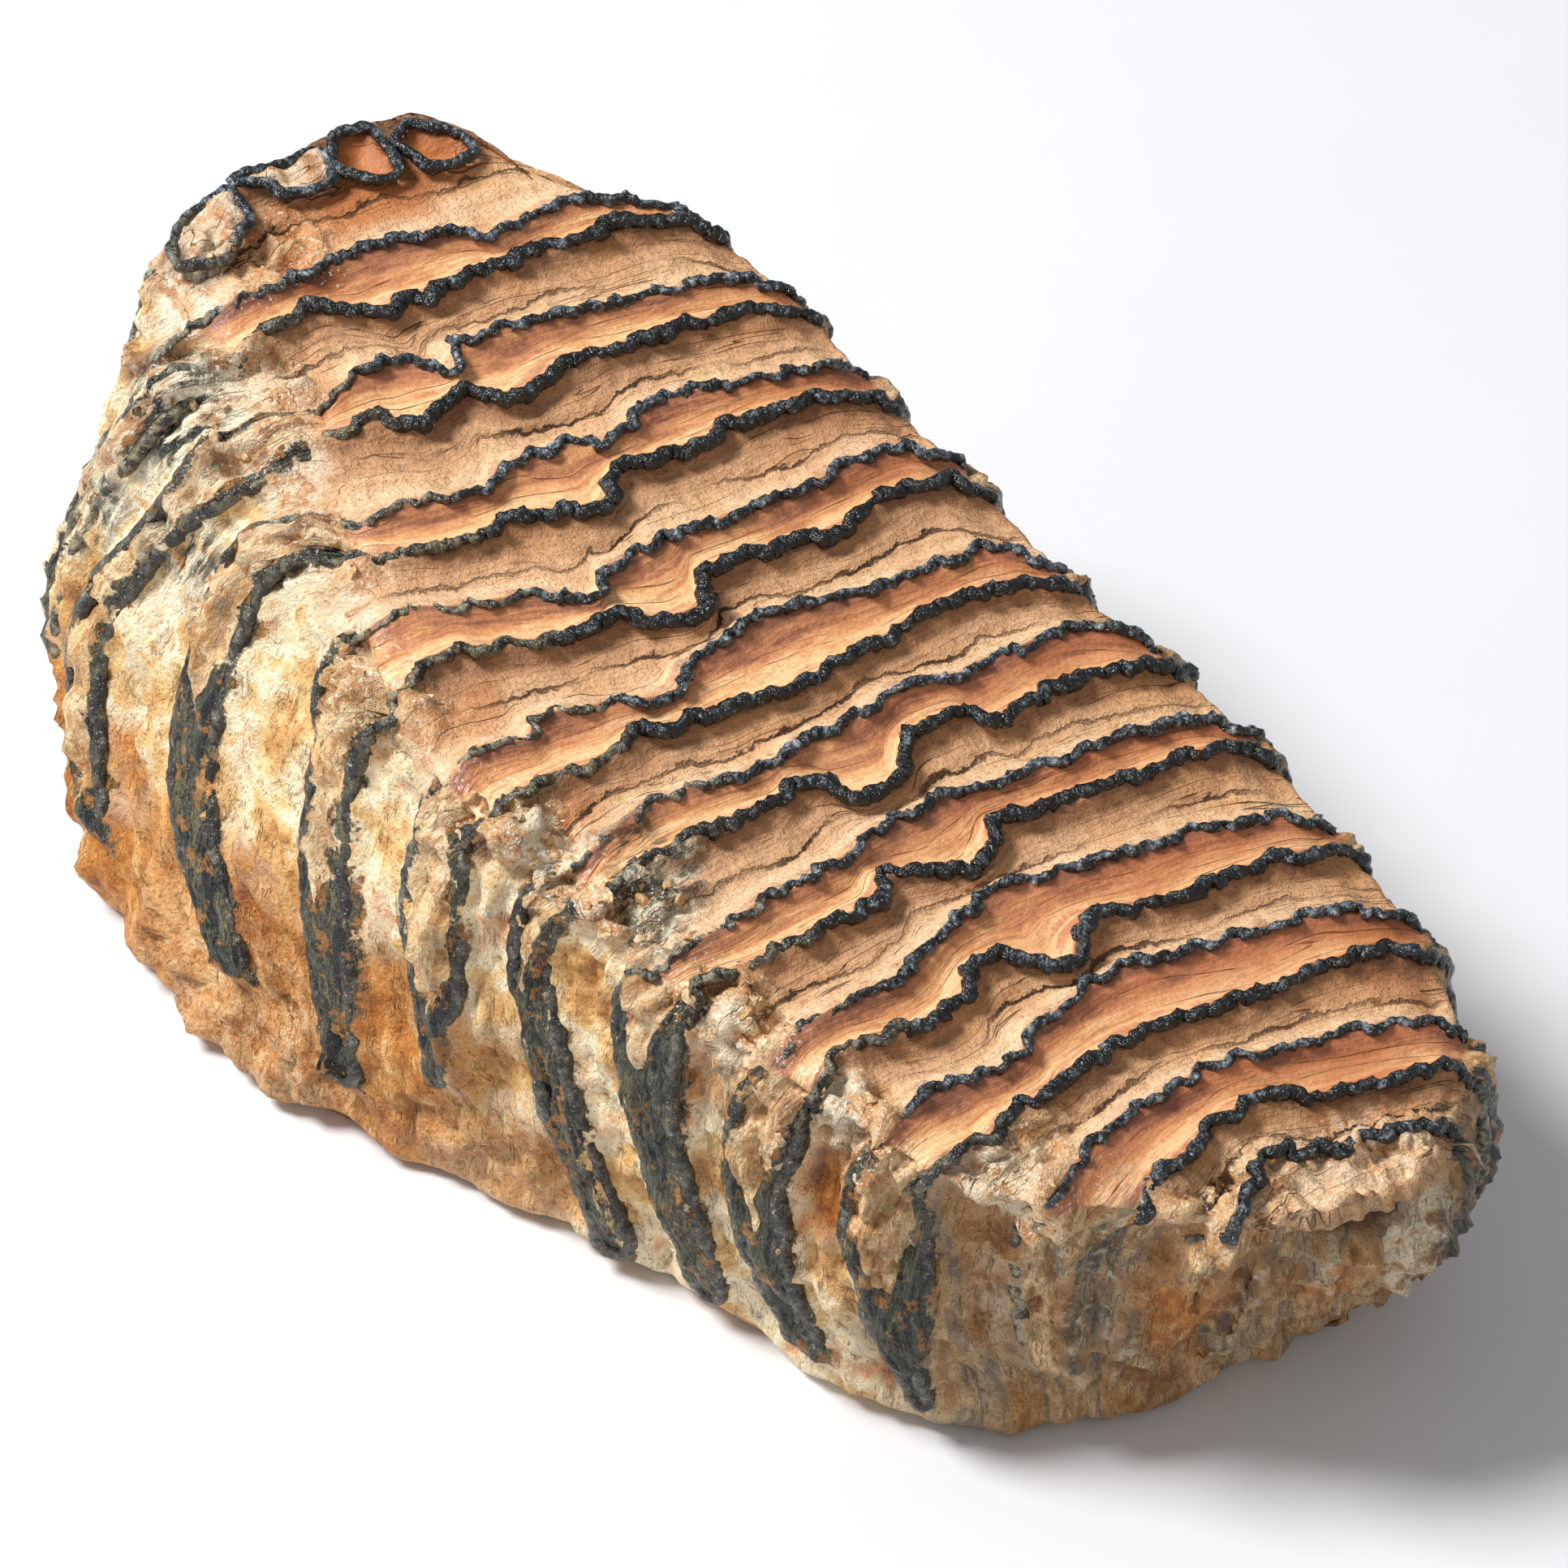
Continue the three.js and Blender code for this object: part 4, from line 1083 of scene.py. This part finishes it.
def ropeSource(name, outlines, faint):
    # edges along the outlines, with the enamel's radius, crinkle, silveriness with its painted sheen, and
    # dust as fields
    allPoints, edges = [], []
    stored = {"ropeRadius": [], "crinkle": [], "silverAndSheen": [], "dusty": []}
    for (run, closed), pale in zip(outlines, faint):
        start, count = len(allPoints), len(run)
        run, size = run[:, :3], run[:, 3]
        below = faceLevel(run[:, 0], 0.5) - run[:, 2]
        onWall = smoothStep(3, 8, below)
        leftRim = smoothStep(7, 0, run[:, 1] + 13 + 6 * lumps(run, 9, 3)) * (1 - onWall)
        thin = np.clip((enamelRopes["frontRadius"] - size) / 0.24, 0, 1) * (1 - onWall)
        uneven = 1 + 0.3 * lumps(run, 5, 41, 2)
        size = size * uneven * (1 - 0.25 * leftRim)
        sag = 0.5 * leftRim * np.clip(lumps(run, 5, 43) + 0.3, 0, 1)
        run = run - np.array([0, 0, 1]) * sag[:, None]
        allPoints += run.tolist()
        stored["ropeRadius"].append(size * mm)
        crinkle = enamelRopes["ringCrinkle"] if count == enamelRopes["ringPoints"] else 1.0
        stored["crinkle"].append(crinkle * (1 - 0.75 * onWall))
        # silver: grey weathering on the thin edges, partly a painted sheen
        stored["silverAndSheen"].append(np.clip(0.15 + 0.85 * thin + 0.5 * lumps(run, 8, 45), 0, 1))
        stored["dusty"].append(np.clip((0.3 + 1.7 * pale) * onWall + 0.7 * leftRim, 0, 2))
        edges += [(start + k, start + k + 1) for k in range(count - 1)]
        if closed:
            edges.append((start + count - 1, start))
    mesh = bpy.data.meshes.new(name)
    mesh.from_pydata(toFrame(np.array(allPoints)).tolist(), edges, [])
    for field, values in stored.items():
        storeField(mesh, field, np.concatenate(values))
    return addObject(name, mesh)


def startTree(name, sockets):
    tree = bpy.data.node_groups.new(name, "GeometryNodeTree")
    for label, kind in {"Geometry": "Geometry", **sockets}.items():
        tree.interface.new_socket(label, in_out="INPUT", socket_type="NodeSocket" + kind)
    tree.interface.new_socket("Geometry", in_out="OUTPUT", socket_type="NodeSocketGeometry")
    add = partial(addNode, tree)
    return tree, add, add("NodeGroupInput").outputs


def finishTree(tree, add, skin, material):
    skin = add("GeometryNodeRealizeInstances", {0: skin})
    skin = add("GeometryNodeSetMaterial", {"Geometry": skin, "Material": material})
    add("NodeGroupOutput", {0: skin})
    return tree


def swayBy(add, size, depth, seed, reach):
    # noise offset of the given depth in every direction, times the reach
    scale = add("Math", (1.0, size), "DIVIDE")
    noise = add("TexNoise", {"Scale": scale, "Detail": 2.5, "W": seed}, noise_dimensions="4D")
    centred = add("VectorMath", (noise.outputs["Color"], (0.5, 0.5, 0.5)), "SUBTRACT")
    limited = add("VectorMath", (centred, reach), "MULTIPLY")
    return add("VectorMath", {0: limited, "Scale": depth}, "SCALE")


def makeRopeTree():
    tree, add, given = startTree("enamel_rope", {
        **dict.fromkeys(enamelRopes["lengths"], "Float"),
        "Profile Points": "Int", "Material": "Material"})
    radius, crinkle = (add("GeometryNodeInputNamedAttribute", {"Name": name}, data_type="FLOAT")
                       for name in ("ropeRadius", "crinkle"))
    reach = add("CombineXYZ", (crinkle, crinkle, add("Math", (crinkle, 0.4), "MULTIPLY")))
    wavy = swayBy(add, given["Crinkle Size"], given["Crinkle Depth"], 3.0, reach)
    # the walls' enamel is smoother than the chewed edges
    fine = add("MapRange", (crinkle, 0.2, 1, 0.35, 1))
    grainy = swayBy(add, given["Grain Size"], given["Grain Depth"], 9.0, fine)

    curve = add("GeometryNodeMeshToCurve", {"Mesh": given["Geometry"]})
    curve = add("GeometryNodeResampleCurve", {"Curve": curve, "Length": given["Step Length"]},
                mode="LENGTH")
    curve = add("GeometryNodeSetPosition", {"Geometry": curve, "Offset": wavy})
    ring = add("GeometryNodeCurvePrimitiveCircle", {"Resolution": given["Profile Points"], "Radius": 1.0})
    skin = add("GeometryNodeCurveToMesh",
               {"Curve": curve, "Profile Curve": ring, "Scale": radius, "Fill Caps": True})
    skin = add("GeometryNodeSetPosition", {"Geometry": skin, "Offset": grainy})
    skin = add("GeometryNodeSetShadeSmooth", {0: skin})
    return finishTree(tree, add, skin, given["Material"])


def grow(source, tree, values, name):
    # runs the tree on the source and keeps the result as a plain mesh
    modifier = source.modifiers.new("grow", "NODES")
    modifier.node_group = tree
    sockets = {item.name: item.identifier for item in tree.interface.items_tree
               if item.item_type == "SOCKET" and item.in_out == "INPUT"}
    for label, value in values.items():
        modifier[sockets[label]] = value
    bpy.context.view_layer.update()
    depsgraph = bpy.context.evaluated_depsgraph_get()
    mesh = bpy.data.meshes.new_from_object(source.evaluated_get(depsgraph))
    mesh.name = name
    spots = np.empty(len(mesh.vertices) * 3, np.float32)
    mesh.vertices.foreach_get("co", spots)
    spots[2::3] = np.maximum(spots[2::3], 0)
    mesh.vertices.foreach_set("co", spots)
    made = addObject(name, mesh)
    source.modifiers.remove(modifier)
    print(name, "made,", sum(len(face.vertices) - 2 for face in mesh.polygons), "triangles")
    return made


ropeValues = {name: length * mm for name, length in enamelRopes["lengths"].items()}
ropeValues.update({"Profile Points": enamelRopes["profilePoints"], "Material": enamelMaterial})
ropeTree = makeRopeTree()
pieces = [body]
for name, plates in enamelRopes["groups"].items():
    outlines = [outlineOf(plate) for plate in plates]
    if 1 in plates:
        outlines += [ringOutline(ring) for ring in rearRings]
    faint = [leftPlates[plate].get("faint", 0) for plate in plates] + [0] * len(rearRings)
    source = ropeSource(name + "_paths", outlines, faint)
    pieces.append(grow(source, ropeTree, ropeValues, name))
    bpy.data.objects.remove(source)


# loose crumbs of cement along the crumbling rims

cementCrumbs = {
    "density": 0.2,               # for each square millimetre where the rim crumbles most
    "lengths": {"Size": 0.42, "Rough Size": 0.9, "Rough Depth": 2.2}, "sizeRange": 0.8, "seed": 4,
}


def makeCrumbTree():
    tree, add, given = startTree("cement_crumbs", {
        **dict.fromkeys(cementCrumbs["lengths"], "Float"), "Density": "Float", "Size Range": "Float",
        "Seed": "Int", "Material": "Material"})
    loose = add("GeometryNodeInputNamedAttribute", {"Name": "loose"}, data_type="FLOAT")
    share = add("MapRange", (loose, 0.55, 1.0))
    density = add("Math", (share, given["Density"]), "MULTIPLY")
    spots = add("GeometryNodeDistributePointsOnFaces",
                {"Mesh": given["Geometry"], "Density": density, "Seed": given["Seed"]})
    least, most = (add("Math", (1.0, given["Size Range"]), sign) for sign in ("SUBTRACT", "ADD"))

    # every crumb has its own proportions, tilt and turn, grade and tint
    shape, spin = (
        add("FunctionNodeRandomValue", {"Min": low, "Max": high}, data_type="FLOAT_VECTOR")
        for low, high in (((0.7, 0.6, 0.35), (1.5, 1.1, 0.8)), ((-0.6, -0.6, 0), (0.6, 0.6, 6.3))))
    grade, tint = (
        add("FunctionNodeRandomValue", {2: low, 3: high, "Seed": seed}, data_type="FLOAT")
        for low, high, seed in ((least, most, 2), (0.0, 1.0, 5)))
    grade = add("Math", (grade, given["Size"]), "MULTIPLY")
    scale = add("VectorMath", {0: shape, "Scale": grade}, "SCALE")
    turned = add("FunctionNodeEulerToRotation", {0: spin})
    stood = add("FunctionNodeRotateRotation", (spots.outputs["Rotation"], turned), rotation_space="LOCAL")

    nugget = add("GeometryNodeMeshIcoSphere", {"Radius": 1.0, "Subdivisions": 2})
    grains = add("GeometryNodeInstanceOnPoints",
                 {"Points": spots, "Instance": nugget, "Rotation": stood, "Scale": scale})
    grains = add("GeometryNodeStoreNamedAttribute", {"Geometry": grains, "Name": "tint", "Value": tint},
                 data_type="FLOAT", domain="INSTANCE")
    grains = add("GeometryNodeRealizeInstances", {0: grains})
    broken = swayBy(add, given["Rough Size"], given["Rough Depth"], 5.0, (1, 1, 1))
    grains = add("GeometryNodeSetPosition", {"Geometry": grains, "Offset": broken})
    return finishTree(tree, add, grains, given["Material"])


crumbValues = {name: length * mm for name, length in cementCrumbs["lengths"].items()}
crumbValues.update({"Density": cementCrumbs["density"] / mm ** 2, "Size Range": cementCrumbs["sizeRange"],
                    "Seed": cementCrumbs["seed"], "Material": crumbMaterial})
pieces.append(grow(body, makeCrumbTree(), crumbValues, "cement_crumbs"))

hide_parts("mammoth_tooth")
for piece in pieces:
    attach(piece, "root")


# floor, light and camera

studio = {
    "floorSize": 6.0, "floorColour": "#e9eaed",
    # each light's position, power and size
    "lights": {"key": ((-0.42, -0.56, 0.92), 16.0, 0.36), "fill": ((0.9, -0.7, 0.6), 1.0, 1.2)},
    "skyStrength": 0.34, "aim": (0, 0, 0.03),
}
view = {
    "target": (0.0, 0.0, 47.0), "distance": 750.0, "lens": 181.7,
    "azimuth": 48.65, "elevation": 43.17, "roll": 5.4,
}


def makeFloor():
    half = studio["floorSize"] / 2
    mesh = bpy.data.meshes.new("floor")
    corners = [(-half, -half, 0), (half, -half, 0), (half, half, 0), (-half, half, 0)]
    mesh.from_pydata(corners, [], [(0, 1, 2, 3)])
    material, add, where = startMaterial("pale_paper")
    speckle = add("TexNoise", {"Vector": where, "Scale": perMm(40), "Detail": 3})
    tone = add("Mix", {0: speckle, 6: studio["floorColour"], 7: "#e4e5e8"})
    finishMaterial(add, tone, 0.9, speckle, 0.01 * mm, {})
    mesh.materials.append(material)
    addObject("floor", mesh)


def addLight(name, source, power, size):
    light = bpy.data.lights.new(name, "AREA")
    light.shape = "DISK"
    light.size = size
    light.energy = power
    lamp = addObject(name, light)
    lamp.location = source
    lamp.rotation_euler = (Vector(studio["aim"]) - Vector(source)).to_track_quat("-Z", "Y").to_euler()


def makeCamera():
    data = bpy.data.cameras.new("camera")
    data.lens = view["lens"]
    data.sensor_width = 36
    data.clip_end = 20
    camera = addObject("camera", data)
    spin, tilt, roll = (math.radians(k) for k in (view["azimuth"], 90 - view["elevation"], view["roll"]))
    camera.matrix_world = Matrix.Translation(toFrame(np.array(view["target"]))) @ \
        Matrix.Rotation(spin, 4, "Z") @ Matrix.Rotation(tilt, 4, "X") @ Matrix.Rotation(roll, 4, "Z") @ \
        Matrix.Translation((0, 0, view["distance"] * mm))
    bpy.context.scene.camera = camera


makeFloor()
for name, light in studio["lights"].items():
    addLight(name, *light)
world = bpy.data.worlds.new("studio")
world.use_nodes = True
world.node_tree.nodes["Background"].inputs[0].default_value = (1, 1, 1, 1)
world.node_tree.nodes["Background"].inputs[1].default_value = studio["skyStrength"]
bpy.context.scene.world = world
bpy.context.scene.view_settings.view_transform = "Standard"
makeCamera()
print("studio made")
